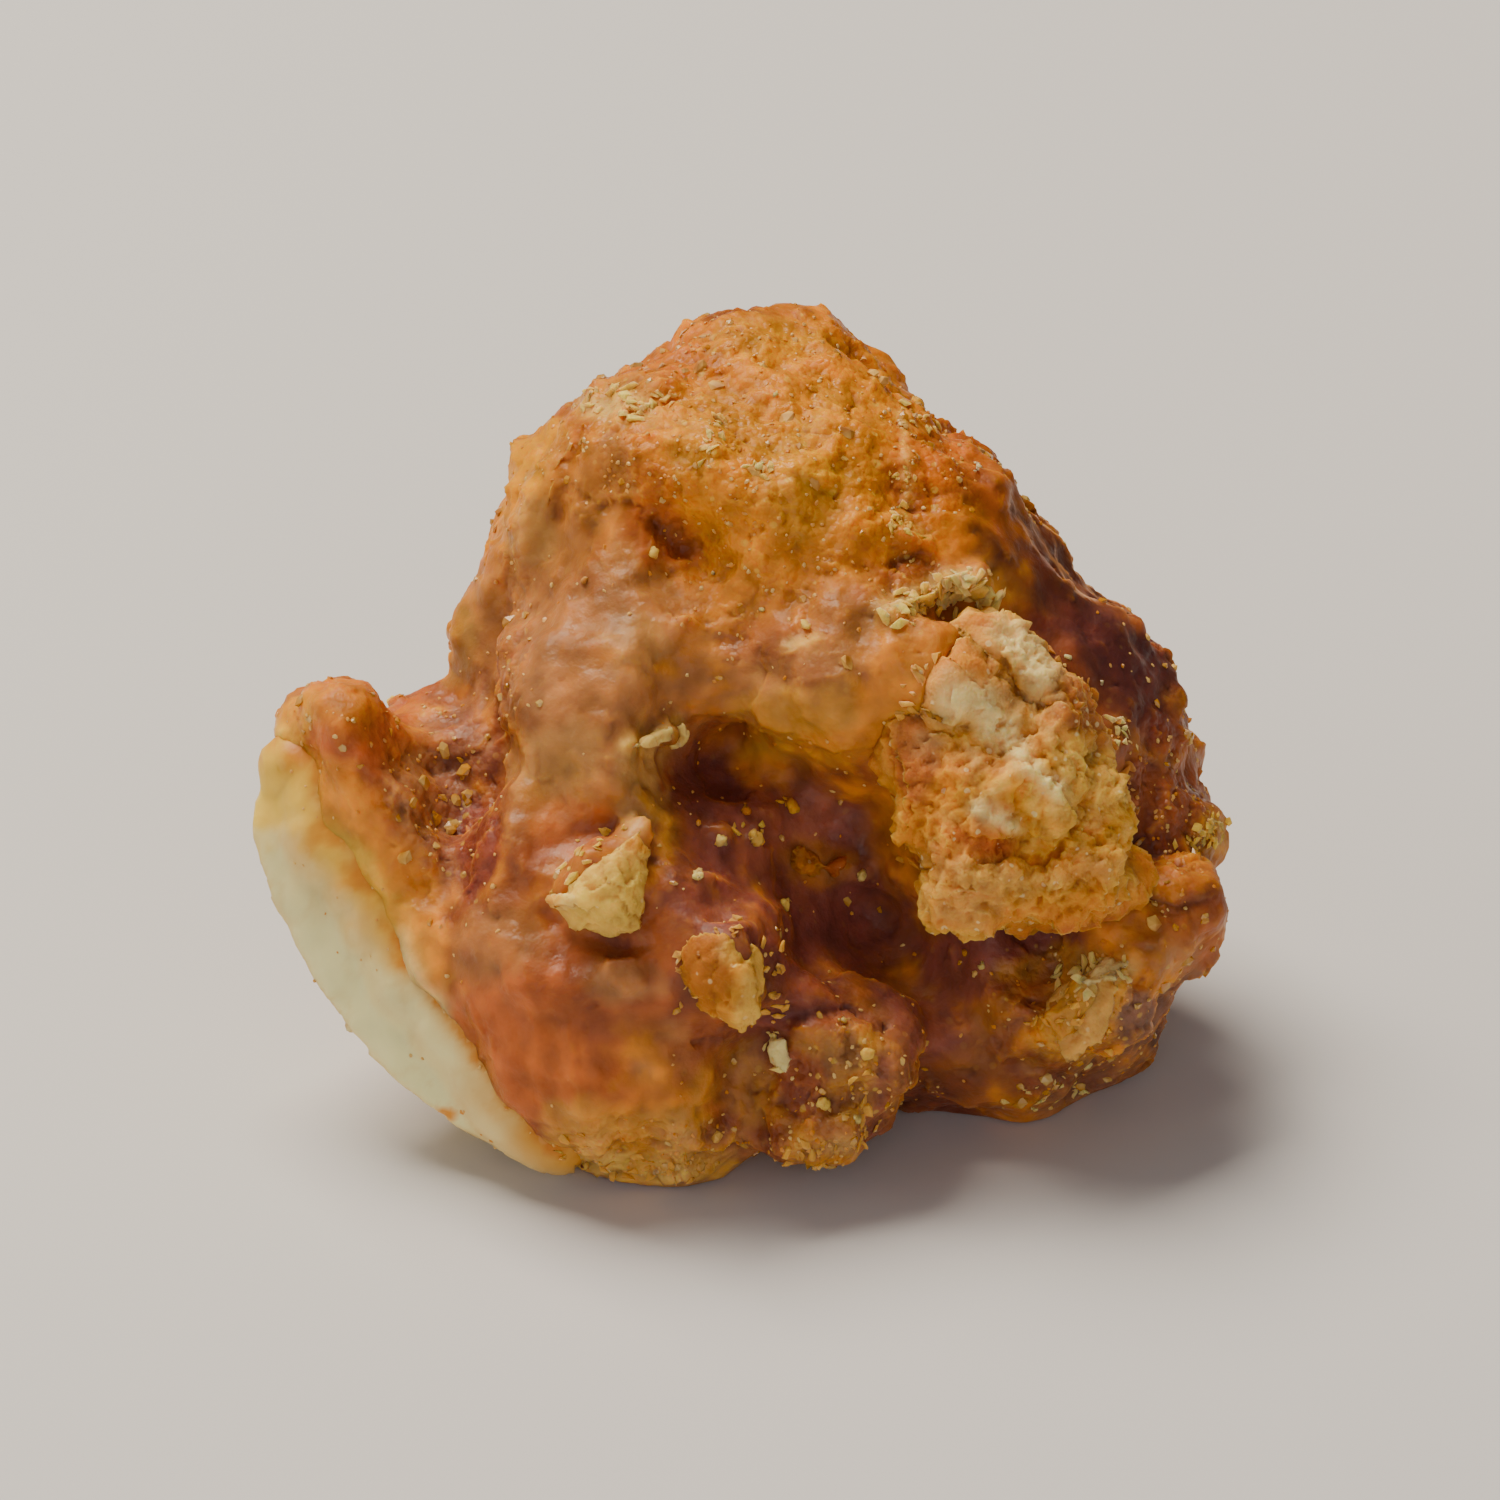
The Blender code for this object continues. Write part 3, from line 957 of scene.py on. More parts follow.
@dataclass
class CaramelCoat:
    """The craggy coat of cooked caramel.

    Crags and grain show a little everywhere and more where the coat is crusty, and crags also away from the
    front. Near the floor, relief, sugar and pooled syrup fade out between the heights of the three feet.
    """

    cell: float = 0.135
    ease: int = 4
    triangles: int = 195_000
    crags_plain: float = 0.4
    crags_crusty: float = 0.6
    crags_behind: float = 0.7
    grain_plain: float = 0.2
    grain_crusty: float = 0.8
    inset: float = 0.05
    smooth_foot: tuple[float, float] = (0.02, 0.5)
    bare_foot: tuple[float, float] = (0.5, 0.9)
    dry_foot: tuple[float, float] = (0.8, 1.2)
    soft_reliefs: tuple[Relief, ...] = (
        Relief(Grain.SWELL, 2.6, 0.3, 1),
        Relief(Grain.SWELL, 0.9, 0.14, 2),
    )
    crag_reliefs: tuple[Relief, ...] = (
        Relief(Grain.RIDGE, 1.5, 0.16, 3),
        Relief(Grain.SHARD, 1.1, 0.18, 4),
        Relief(Grain.LEDGE, 1.2, 0.14, 5),
    )
    grain_reliefs: tuple[Relief, ...] = (
        Relief(Grain.SHARD, 0.5, 0.12, 6),
        Relief(Grain.PEBBLE, 0.4, 0.08, 7),
        Relief(Grain.SWELL, 0.27, 0.04, 8),
    )
    zones: tuple[Zone, ...] = (
        Zone(0.0, 16.0, 6.6, 4.9, Tone.GOLD),
        Zone(-2.0, 18.8, 2.4, 0.8, Tone.ORANGE, 0.6, 25),
        Zone(0.4, 19.4, 1.6, 0.8, Tone.YELLOW_GOLD, 0.6),
        Zone(-3.8, 17.8, 1.4, 0.8, Tone.OCHRE, 0.5, 30),
        Zone(-1.1, 16.7, 1.6, 1.1, Tone.YELLOW_GOLD, 0.6, 20),
        Zone(2.2, 16.5, 2.1, 1.6, Tone.YELLOW_GOLD, 0.85, 10),
        Zone(0.4, 14.2, 2.2, 1.2, Tone.GOLD, 0.6),
        Zone(1.6, 14.9, 1.2, 1.0, Tone.OCHRE, 0.6),
        Zone(0.2, 17.3, 2.0, 1.2, Tone.HONEY, 0.3),
        Zone(4.0, 15.8, 1.6, 2.6, Tone.GOLD, 0.9, 25),
        Zone(-3.0, 15.2, 1.3, 1.2, Tone.ORANGE, 0.6, -30),
        Zone(-5.9, 16.2, 1.0, 1.6, Tone.YELLOW_GOLD, 0.8),
        Zone(-4.4, 15.2, 1.3, 2.0, Tone.TAN, 0.75, -20),
        Zone(-5.4, 13.0, 2.0, 2.2, Tone.TAN, 0.85),
        Zone(-6.1, 14.2, 0.8, 1.0, Tone.WHEAT, 0.5),
        Zone(-7.4, 11.8, 0.6, 1.6, Tone.WHEAT, 0.5),
        Zone(-3.2, 11.8, 2.0, 2.0, Tone.ROSE_TAN, 0.8),
        Zone(-4.6, 8.6, 2.8, 4.2, Tone.TAN, 0.9, 8),
        Zone(-5.9, 10.6, 0.7, 1.6, Tone.ROSE_TAN, 0.8, 10),
        Zone(-7.2, 11.0, 0.9, 2.0, Tone.HONEY, 0.6),
        Zone(-8.2, 11.2, 0.6, 1.3, Tone.OLIVE, 0.5),
        Zone(-2.6, 9.8, 1.6, 1.2, Tone.ROSE_TAN, 0.7),
        Zone(-3.0, 11.0, 1.1, 0.9, Tone.WHEAT, 0.4),
        Zone(-5.0, 6.9, 1.2, 1.1, Tone.OCHRE, 0.6),
        Zone(2.6, 11.2, 2.4, 1.6, Tone.TAN, 0.8, 10),
        Zone(3.0, 10.9, 1.6, 0.9, Tone.WHEAT, 0.15, 10),
        Zone(0.6, 10.4, 1.2, 1.0, Tone.TAN, 0.8),
        Zone(0.1, 9.5, 0.9, 0.6, Tone.ROSE_TAN, 0.8),
        Zone(2.0, 9.0, 2.2, 1.3, Tone.OCHRE, 0.9, 4),
        Zone(2.2, 8.2, 1.4, 0.6, Tone.GOLD, 0.8),
        Zone(0.8, 11.6, 2.0, 0.7, Tone.HONEY, 0.6),
        Zone(5.6, 15.0, 1.7, 2.8, Tone.ORANGE, 0.85, 20),
        Zone(7.4, 13.8, 1.4, 2.8, Tone.AMBER, 0.65, 28),
        Zone(5.6, 13.9, 1.2, 0.9, Tone.GOLD, 0.6),
        # The right slope's dark brown, deepened with painted shade.
        Zone(8.8, 12.4, 2.0, 3.0, Tone.BARK_AND_SHADE, 0.95, 35),
        Zone(10.6, 9.9, 1.8, 1.7, Tone.BARK_AND_SHADE, 0.9, 30),
        Zone(11.4, 7.2, 1.8, 2.4, Tone.RUST, 0.9),
        Zone(11.9, 7.4, 1.0, 1.6, Tone.AMBER, 0.8),
        Zone(13.0, 5.9, 0.9, 0.8, Tone.OCHRE, 0.8),
        Zone(12.2, 3.6, 1.3, 1.7, Tone.AMBER, 0.85),
        Zone(4.0, 9.6, 1.2, 2.4, Tone.GOLD, 0.85),
        Zone(4.0, 7.4, 0.8, 1.6, Tone.HONEY, 0.8),
        Zone(-6.9, 2.8, 1.7, 1.6, Tone.TAN, 0.9),
        Zone(-5.6, 0.2, 3.2, 2.2, Tone.ORANGE, 0.85, -30),
        Zone(-4.0, 1.6, 2.4, 1.6, Tone.AMBER, 0.6),
        Zone(-4.8, 6.2, 1.4, 0.8, Tone.ORANGE, 0.7),
        Zone(-3.3, 2.0, 1.0, 0.7, Tone.ROSE_TAN, 0.9),
        Zone(-3.6, -2.4, 3.4, 1.1, Tone.OCHRE, 0.8, 5),
        # Painted light on the bottom edge, which faces down into shade.
        Zone(-3.4, -3.4, 3.4, 0.7, Tone.STRAW, 0.85, 3),
        Zone(-2.8, -0.4, 0.5, 0.4, Tone.ROSE_TAN, 0.6),
        Zone(-1.9, 0.6, 0.5, 0.4, Tone.ROSE_TAN, 0.6),
        # The recess below the crust: dark syrup, deepened with painted shade, darkest in its hollow cores.
        Zone(1.4, 5.2, 3.2, 2.7, Tone.MAROON, 0.92, -40),
        Zone(-1.1, 7.2, 1.3, 1.2, Tone.BITTER, 0.95),
        Zone(-1.4, 4.9, 0.9, 1.1, Tone.BITTER, 0.7),
        Zone(3.2, 5.4, 1.2, 1.5, Tone.BITTER, 0.8),
        Zone(2.8, 3.0, 2.6, 1.4, Tone.BITTER, 0.85),
        Zone(6.6, 2.4, 3.0, 1.2, Tone.MAROON, 0.85, 15),
        Zone(5.6, -0.7, 2.4, 1.3, Tone.UMBER, 0.75),
        Zone(0.4, 0.9, 1.6, 1.6, Tone.UMBER, 0.8),
        Zone(0.6, -1.2, 1.6, 1.4, Tone.RUST, 0.7),
        Zone(1.9, 5.1, 1.0, 0.6, Tone.HONEY, 0.8),
        Zone(4.8, 0.7, 1.3, 1.0, Tone.MAROON, 0.8),
        Zone(1.6, 2.0, 0.8, 0.9, Tone.MAROON, 0.6),
        Zone(8.8, 0.9, 1.3, 1.5, Tone.OCHRE, 0.9, -30),
        # Painted light below the cluster, in the shade it casts.
        Zone(8.2, 2.2, 1.4, 0.6, Tone.OCHRE, 0.7, 10),
        Zone(7.0, 1.2, 1.0, 0.5, Tone.HONEY, 0.7, 15),
        Zone(9.6, 2.1, 0.9, 0.4, Tone.CREAM, 0.7, 20),
        Zone(11.4, 0.8, 1.7, 1.1, Tone.LILAC, 0.95, 25),
        Zone(9.6, -1.0, 2.2, 0.7, Tone.LILAC, 0.7, 15),
        Zone(11.5, 2.5, 0.7, 0.5, Tone.ROSE_TAN, 0.7),
        Zone(2.8, -0.1, 1.2, 1.2, Tone.BRONZE, 0.9),
        Zone(3.3, 0.5, 0.5, 0.4, Tone.OCHRE, 0.7),
        Zone(2.0, -2.5, 1.3, 0.9, Tone.TAN, 0.9),
        Zone(2.6, -2.7, 0.6, 0.5, Tone.WHEAT, 0.7),
        Zone(2.3, -3.4, 1.4, 0.6, Tone.GOLD, 0.8),
        Zone(-1.0, -2.9, 1.4, 0.6, Tone.OCHRE, 0.8),
        Zone(-0.2, -0.9, 1.3, 1.1, Tone.OCHRE, 0.5),
        Zone(2.9, -1.1, 0.9, 0.8, Tone.OCHRE, 0.6),
        Zone(1.7, 0.3, 0.8, 0.5, Tone.OCHRE, 0.4),
        Zone(-3.0, -1.0, 1.0, 0.7, Tone.AMBER, 0.5),
        Zone(0.5, -2.7, 0.8, 0.6, Tone.RUST, 0.85),
        Zone(-8.4, 6.8, 1.5, 2.9, Tone.MAUVE, 0.95, -12),
        Zone(-7.5, 5.7, 0.7, 1.7, Tone.RUST, 0.9, 8),
        Zone(-11.0, 9.0, 1.9, 1.6, Tone.ORANGE, 0.9),
        Zone(-11.4, 9.6, 1.4, 0.8, Tone.GOLD, 0.8, -20),
        Zone(-12.6, 8.8, 0.6, 1.2, Tone.YELLOW_GOLD, 0.8, -20),
        Zone(-10.5, 7.8, 0.8, 0.8, Tone.RUST, 0.2),
        Zone(-10.9, 6.5, 2.0, 1.0, Tone.GOLD, 0.95, -40),
        Zone(-9.6, 4.6, 1.6, 1.0, Tone.GOLD, 0.98, -50),
        Zone(-10.9, 5.0, 1.6, 0.7, Tone.YELLOW_GOLD, 0.9, -50),
        Zone(-10.7, 4.9, 1.3, 0.5, Tone.LEMON, 0.5, -50),
        Zone(-8.8, 3.0, 0.7, 1.2, Tone.GOLD, 0.9, -15),
        Zone(-9.1, 7.2, 0.8, 1.6, Tone.ROSE_TAN, 0.75),
        Zone(-3.0, 7.3, 0.8, 1.5, Tone.WHEAT, 0.85),
        # Painted shade deepening the recess's core.
        Zone(-0.7, 3.9, 1.4, 0.8, Tone.BITTER, 0.8),
        Zone(-1.2, -2.5, 1.5, 0.5, Tone.ROSE_TAN, 0.5),
        Zone(6.3, 11.3, 0.8, 0.7, Tone.AMBER, 0.8),
        Zone(-5.2, 8.0, 1.5, 1.0, Tone.WHEAT, 0.45),
        Zone(0.2, 8.2, 0.9, 0.5, Tone.OCHRE, 0.7),
        Zone(0.8, 11.2, 1.4, 0.6, Tone.AMBER, 0.5),
        Zone(3.9, 7.7, 1.1, 1.1, Tone.AMBER, 0.7),
        # Painted shadow above the cluster's top; beside it the right slope's dark brown, deepened with
        # painted shade.
        Zone(7.4, 11.6, 2.0, 0.8, Tone.RUST, 0.7, -10),
        Zone(8.9, 11.1, 1.3, 0.9, Tone.BARK_AND_SHADE, 0.8, 30),
        Zone(-2.3, 14.1, 1.1, 0.8, Tone.ORANGE, 0.8, -35),
        Zone(-2.0, 13.7, 0.5, 0.4, Tone.RUST, 0.6),
        Zone(-4.1, 4.5, 1.5, 0.9, Tone.GOLD, 0.7, 25),
    )
    # Sunk strokes in dark tones paint shade into the creases they cut.
    strokes: tuple[Stroke, ...] = (
        Stroke(((3.7, 12.0), (4.6, 12.4), (5.4, 12.9), (6.2, 12.8), (6.7, 12.3)), 0.35, 0.3, Tone.STRAW),
        Stroke(
            ((4.2, 17.4), (4.25, 16.2), (4.3, 15.2), (4.2, 14.4), (4.8, 14.0)), 0.16, 0.12, Tone.STRAW, 0.4
        ),
        Stroke(((4.0, 13.2), (4.6, 13.6)), 0.25, -0.25, Tone.RUST, 0.6),
        Stroke(((-3.3, 8.3), (-2.7, 8.5), (-2.1, 8.8)), 0.22, 0.25, Tone.STRAW),
        # Painted shadow under the wedge chip's lower edge.
        Stroke(((-5.5, 3.8), (-4.8, 3.2), (-3.6, 2.95), (-2.7, 2.9)), 0.25, -0.15, Tone.AMBER),
        Stroke(
            ((-6.3, 6.2), (-5.2, 7.2), (-4.0, 7.3), (-3.0, 6.9), (-2.2, 6.2), (-2.4, 5.7)),
            0.4, 0.15, Tone.TAN, 0.6,
        ),
        Stroke(((-2.9, 6.9), (-2.2, 6.2), (-2.3, 5.6)), 0.25, 0.1, Tone.OCHRE, 0.7),
        Stroke(((-5.8, 5.4), (-4.8, 5.9), (-3.9, 6.0)), 0.35, -0.2, Tone.AMBER, 0.7),
        Stroke(((-5.3, 14.6), (-5.1, 16.0), (-4.8, 17.0)), 0.25, -0.3, Tone.AMBER, 0.5),
        Stroke(((-4.9, 18.2), (-4.0, 17.4), (-3.4, 17.9), (-2.8, 17.5)), 0.25, 0.15, Tone.CREAM, 0.65),
        Stroke(((-2.7, 14.3), (-2.3, 14.0), (-2.0, 13.7)), 0.22, -0.15, Tone.RUST, 0.7),
        Stroke(((-2.2, 13.8), (-1.8, 13.4)), 0.5, 0.25, Tone.AMBER, 0.4),
        Stroke(
            ((-13.3, 8.4), (-12.7, 7.1), (-11.7, 5.7), (-10.7, 4.6), (-9.7, 3.5), (-8.95, 2.2)),
            0.6, 0.0, Tone.YELLOW_GOLD, 0.9,
        ),
        Stroke(((-13.2, 8.6), (-12.8, 7.4), (-12.2, 6.4)), 0.35, 0.0, Tone.LEMON, 0.6),
        Stroke(((-9.5, 2.7), (-9.0, 1.8), (-8.5, 1.0)), 0.35, 0.0, Tone.IVORY, 0.8),
        Stroke(
            ((-6.9, 9.2), (-6.9, 7.0), (-6.9, 5.2), (-7.6, 4.2), (-8.0, 3.6)), 0.22, -0.25, Tone.RUST, 0.7
        ),
        Stroke(((-8.4, 3.0), (-8.5, 2.0)), 0.35, 0.15, Tone.GOLD, 0.6),
        Stroke(((0.5, 9.4), (1.1, 8.2), (2.2, 7.9), (3.4, 8.3)), 0.3, 0.25, Tone.OCHRE, 0.5),
        Stroke(((1.0, 11.0), (1.8, 11.2)), 0.15, 0.15, Tone.STRAW, 0.7),
        Stroke(
            ((4.4, 5.0), (4.0, 6.6), (4.0, 8.2), (4.6, 9.8), (5.4, 11.2), (6.6, 12.2)),
            0.7, 0.15, Tone.GOLD, 0.85,
        ),
        Stroke(((8.4, 11.0), (9.2, 9.7), (10.1, 8.0), (10.8, 6.2)), 0.4, 0.1, Tone.AMBER, 0.7),
        Stroke(((10.0, 9.0), (10.7, 8.2), (11.6, 7.8), (12.4, 8.4)), 0.2, 0.2, Tone.HONEY, 0.7),
        Stroke(((11.6, 9.6), (12.5, 8.4), (13.1, 6.8)), 0.25, 0.15, Tone.HONEY, 0.6),
        Stroke(((7.2, -0.4), (8.0, -0.4), (8.8, -0.9), (9.8, -0.3)), 0.2, -0.25, Tone.RUST, 0.6),
        Stroke(((-1.9, 1.2), (-1.2, 0.4), (-0.6, -0.8), (-0.8, -2.4)), 0.3, -0.12, Tone.RUST, 0.4),
        Stroke(((-4.3, -2.4), (-4.1, -3.6)), 0.45, 0.35, Tone.WHEAT, 0.5),
        Stroke(((-3.0, -2.7), (-3.2, -3.6)), 0.35, 0.3, Tone.GOLD, 0.5),
        Stroke(((-2.0, -2.4), (-1.9, -3.6)), 0.5, 0.4, Tone.WHEAT, 0.5),
        Stroke(((1.4, -2.2), (1.2, -3.2)), 0.35, 0.25, Tone.OCHRE, 0.6),
        Stroke(((2.9, 1.0), (3.4, 0.2), (3.5, -0.8)), 0.4, 0.2, Tone.OCHRE, 0.5),
        Stroke(((-0.2, 0.8), (1.4, 1.1), (2.6, 1.2), (3.6, 0.6)), 0.25, -0.3, Tone.MAROON, 0.8),
        Stroke(((3.6, -0.2), (3.5, -1.4), (3.4, -2.4)), 0.3, -0.3, Tone.MAROON, 0.8),
        Stroke(((1.0, -1.3), (2.0, -1.3), (3.0, -1.2)), 0.2, -0.2, Tone.UMBER, 0.6),
        Stroke(((7.0, 0.4), (7.6, 1.2), (8.2, 2.2)), 0.3, -0.25, Tone.MAROON, 0.6),
        Stroke(((10.6, 4.2), (11.6, 3.9), (12.6, 4.2)), 0.25, -0.25, Tone.UMBER, 0.6),
        Stroke(((11.0, 2.2), (11.3, 2.9), (12.0, 2.7)), 0.18, 0.2, Tone.ROSE_TAN, 0.6),
    )
    crusty: tuple[Zone, ...] = (
        Zone(0.8, 16.2, 6.4, 5.0, None, 1.0),
        Zone(5.0, 16.6, 1.6, 3.6, None, 1.0),
        Zone(-8.3, 6.8, 1.5, 3.0, None, 0.8),
        Zone(12.0, 6.8, 1.8, 3.2, None, 1.0),
        Zone(9.0, 1.0, 3.0, 2.0, None, 0.9),
        Zone(-6.5, 10.8, 0.7, 3.6, None, 0.8),
        Zone(-11.0, 8.6, 2.0, 2.0, None, 0.4),
        Zone(4.4, 12.6, 2.2, 1.2, None, 0.9),
        Zone(2.4, -1.6, 2.6, 2.2, None, 0.9),
        Zone(-2.6, -2.9, 3.6, 1.3, None, 1.0),
        Zone(2.4, -2.9, 2.2, 1.2, None, 1.0),
        Zone(2.8, -0.2, 1.6, 1.6, None, 1.0),
        Zone(2.4, 10.6, 2.2, 1.2, None, 0.5),
    )
    calm: tuple[Zone, ...] = (
        Zone(-4.8, 1.2, 3.4, 2.8, None, 0.85),
        Zone(-4.6, 8.6, 1.9, 4.4, None, 0.75),
        Zone(2.8, 9.8, 1.6, 2.0, None, 0.6),
        Zone(7.6, 12.8, 2.0, 3.0, None, 0.8, 30),
    )
    pools: tuple[Zone, ...] = (
        Zone(-8.4, 6.8, 0.9, 1.8, None, 1.0, -12),
        Zone(-10.9, 8.4, 1.1, 0.9, None, 0.35),
        Zone(12.0, 3.4, 1.0, 1.6, None, 0.4),
        Zone(8.8, -1.2, 1.4, 0.6, None, 0.8),
    )

    def build(self, node: bpy.types.Object) -> bpy.types.Object:
        """Builds the coat from its CAD node's shape.

        Args:
            node: the CAD node.

        Returns:
            The finished piece.
        """
        obj = merged_copy(node, "cooked_caramel_coat")
        dense = reskinned(obj, self.cell, self.ease)
        dense.draw(self.strokes, 9)
        grit = self.crustiness(dense)
        spots = dense.spots
        craggy = self.crags_plain + self.crags_crusty * grit + self.crags_behind * (1.0 - dense.front)
        heights = heaped(self.soft_reliefs, spots)
        heights = heights + heaped(self.crag_reliefs, spots) * craggy
        heights = heights + heaped(self.grain_reliefs, spots) * (self.grain_plain + self.grain_crusty * grit)
        dense.swell((heights - self.inset) * dense.above(*self.smooth_foot))
        dense.store(0.0)
        colours = self.colours(dense, grit)
        finder = kdtree.KDTree(len(dense.points))
        for index, point in enumerate(dense.points.tolist()):
            finder.insert(point, index)
        finder.balance()
        thin = lightened(obj, self.triangles)
        nearest = np.array([finder.find(point)[1] for point in thin.points.tolist()])
        sown = grit[nearest] * thin.above(*self.bare_foot)
        thin.paint(colours[nearest], grit=sown, pool=self.pooled(thin))
        return dress(obj, COOKED_CARAMEL.material(), "caramel", "caramel_coat")

    def crustiness(self, skin: Skin) -> np.ndarray:
        """Works out how rough and sugary the coat is.

        Args:
            skin: the coat's surface.

        Returns:
            An amount from 0 to 1 for each point.
        """
        spots, front = skin.spots, skin.front
        patches = smooth_step(swells(spots, 3.2, 11), -0.25, 0.35)
        wobble = swells(spots, 1.2, 12, 0.5)
        amount = skin.strongest(0.15 + 0.6 * patches * (1.0 - front), self.crusty, wobble)
        for zone in self.calm:
            amount = amount * (1.0 - zone.share(spots, wobble) * front)
        return amount

    def pooled(self, skin: Skin) -> np.ndarray:
        """Works out how much clear syrup set into crystals.

        Args:
            skin: the coat's surface.

        Returns:
            An amount from 0 to 1 for each point.
        """
        spots = skin.spots
        patches = smooth_step(swells(spots, 2.2, 13), 0.2, 0.4)
        wobble = swells(spots, 0.8, 14, 0.4)
        amount = skin.strongest(0.5 * patches * (1.0 - skin.front), self.pools, wobble)
        return amount * skin.above(*self.dry_foot)

    def colours(self, skin: Skin, grit: np.ndarray) -> np.ndarray:
        """Mixes mottled amber and gold, the front's patches, syrup with painted shade in hollows, and a
        painted haze.

        Args:
            skin: the coat's surface.
            grit: how crusty each point is.

        Returns:
            A colour for each point.
        """
        spots = skin.spots
        small = swells(spots, 1.2, 22)
        broad = swells(spots, 4.5, 21) + 0.4 * small
        dark = swells(spots, 3.4, 23) + 0.5 * small
        colours = washed(rows(Tone.AMBER, len(spots)), Tone.GOLD, smooth_step(broad, -0.3, 0.4))
        colours = washed(colours, Tone.RUST, 0.8 * smooth_step(dark, 0.1, 0.5))
        colours = washed(colours, Tone.TAN, 0.6 * smooth_step(-dark, 0.2, 0.6))
        # Painted shade in the deep hollows, also syrup lying thicker there.
        colours = glazed(colours, SYRUP_AND_SHADE, 0.8 * smooth_step(skin.hollows(60), 0.05, 0.6))
        colours = skin.laid(colours, self.zones, 24)
        colours = skin.laid(colours, self.strokes, 25)
        colours = colours * (1.0 + 0.3 * swells(spots, 0.5, 26))[:, None]
        # Round sugar grains paler where the coat is crusty, partly painted glints.
        grains = smooth_step(Relief(Grain.PEBBLE, 0.5, 1.0, 27).heights(spots), 0.1, 0.35)
        colours = glazed(colours, SUGAR_SHINE, 0.6 * grit * grains)
        # Painted shade in the fine creases, also syrup there; ridges paler, partly painted highlight and
        # partly thinner caramel.
        crease = skin.hollows(8)
        colours = glazed(colours, SYRUP_AND_SHADE, 0.8 * smooth_step(crease, 0.015, 0.12))
        colours = washed(colours, Tone.YELLOW_GOLD, 0.35 * smooth_step(-crease, 0.02, 0.12))
        # Painted haze: a faint pale veil towards the bottom, where the coat's shade looks hazy.
        return colours + np.outer(1.0 - smooth_step(spots[:, 1], 11.0, 15.0), CARAMEL_PAINTED_HAZE)


@dataclass
class CashewKernel:
    """The bare half kernel along the lower left.

    It is filled out where the coat is near, less and less between the gaps in fill_mm. Caramel stains it
    beside the coat. The stain's reach grows from the first to the second of stain_mm between the rises in
    stain_rise.
    """

    cell: float = 0.17
    fill: float = 0.95
    fill_mm: tuple[float, float] = (0.6, 1.6)
    stain_mm: tuple[float, float] = (0.3, 0.9)
    stain_rise: tuple[float, float] = (1.5, 4.5)
    reliefs: tuple[Relief, ...] = (
        Relief(Grain.SWELL, 3.2, 0.2, 31),
        Relief(Grain.SWELL, 1.1, 0.1, 32),
        Relief(Grain.SWELL, 0.5, 0.03, 36),
    )
    back_reliefs: tuple[Relief, ...] = (
        Relief(Grain.SHARD, 2.2, 0.2, 37),
        Relief(Grain.RIDGE, 1.6, 0.08, 38),
    )
    marks: tuple[Zone | Stroke, ...] = (
        Stroke(
            ((-12.6, 8.6), (-12.4, 6.9), (-11.4, 5.4), (-10.4, 4.3), (-9.4, 3.0)), 0.7, 0.0, Tone.CREAM, 0.7
        ),
        Stroke(((-11.3, 4.6), (-10.8, 3.6), (-10.3, 2.8)), 0.3, 0.0, Tone.ROSE_TAN, 0.18),
        Zone(-13.0, 7.2, 1.1, 2.1, Tone.LEMON, 0.95, -15),
        Stroke(
            ((-12.8, 8.6), (-12.3, 6.8), (-11.3, 5.3), (-10.2, 4.2), (-9.3, 2.8)), 0.55, 0.0, Tone.LEMON, 0.9
        ),
        Zone(-8.3, -1.75, 0.35, 0.25, Tone.GOLD, 0.95),
        Stroke(((-6.0, -2.3), (-5.2, -2.9), (-4.0, -3.4)), 0.7, 0.0, Tone.WHEAT, 0.85),
        Stroke(((-7.4, -1.2), (-6.4, -2.2), (-5.4, -2.9)), 0.5, 0.0, Tone.OCHRE, 0.5),
    )

    def build(self, node: bpy.types.Object, coat: bpy.types.Object) -> bpy.types.Object:
        """Builds the kernel from its CAD node's shape, filled out to meet the coat.

        Args:
            node: the CAD node.
            coat: the finished coat, whose caramel stains the kernel beside it.

        Returns:
            The finished piece.
        """
        obj = merged_copy(node, "split_cashew_kernel")
        skin = reskinned(obj, self.cell, 3)
        tree = tree_of(coat.data)
        heights = heaped(self.reliefs, skin.spots)
        heights = heights + heaped(self.back_reliefs, skin.spots) * (1.0 - skin.front)
        skin.swell(heights + self.fill * (1.0 - smooth_step(skin.gaps(tree), *self.fill_mm)))
        skin.store(FLOOR_GAP)
        spots = skin.spots
        face = smooth_step(-skin.normals @ AXES[2], 0.0, 0.95)
        colours = washed(rows(Tone.IVORY, len(spots)), Tone.GREY_CREAM, face)
        roast = swells(spots, 2.4, 39) + 0.4 * swells(spots, 0.6, 30)
        colours = washed(colours, Tone.WHEAT, 0.7 * smooth_step(roast, -0.1, 0.45) * (1.0 - skin.front))
        vein = smooth_step(Relief(Grain.RIDGE, 1.1, 1.0, 29).heights(spots), 0.15, 0.35)
        colours = washed(colours, Tone.WHEAT, 0.16 * vein)
        colours = skin.laid(colours, self.marks, 33)
        wobble = swells(spots, 0.9, 34, 0.6) + swells(spots, 0.3, 35, 0.3)
        low, high = self.stain_mm
        reach = low + (high - low) * smooth_step(spots[:, 1], *self.stain_rise)
        stain = np.exp(-skin.gaps(tree) / reach) * (1.0 + wobble)
        colours = washed(colours, Tone.YELLOW_GOLD, np.clip(0.95 * stain, 0.0, 0.95))
        colours = washed(colours, Tone.ORANGE, np.clip(1.2 * stain - 0.7, 0.0, 0.7))
        skin.paint(colours, grit=0.1 + 0.3 * np.clip(stain, 0.0, 1.0))
        return dress(obj, ROASTED_CASHEW.material(), "roasted_nut", "cashew_kernel")


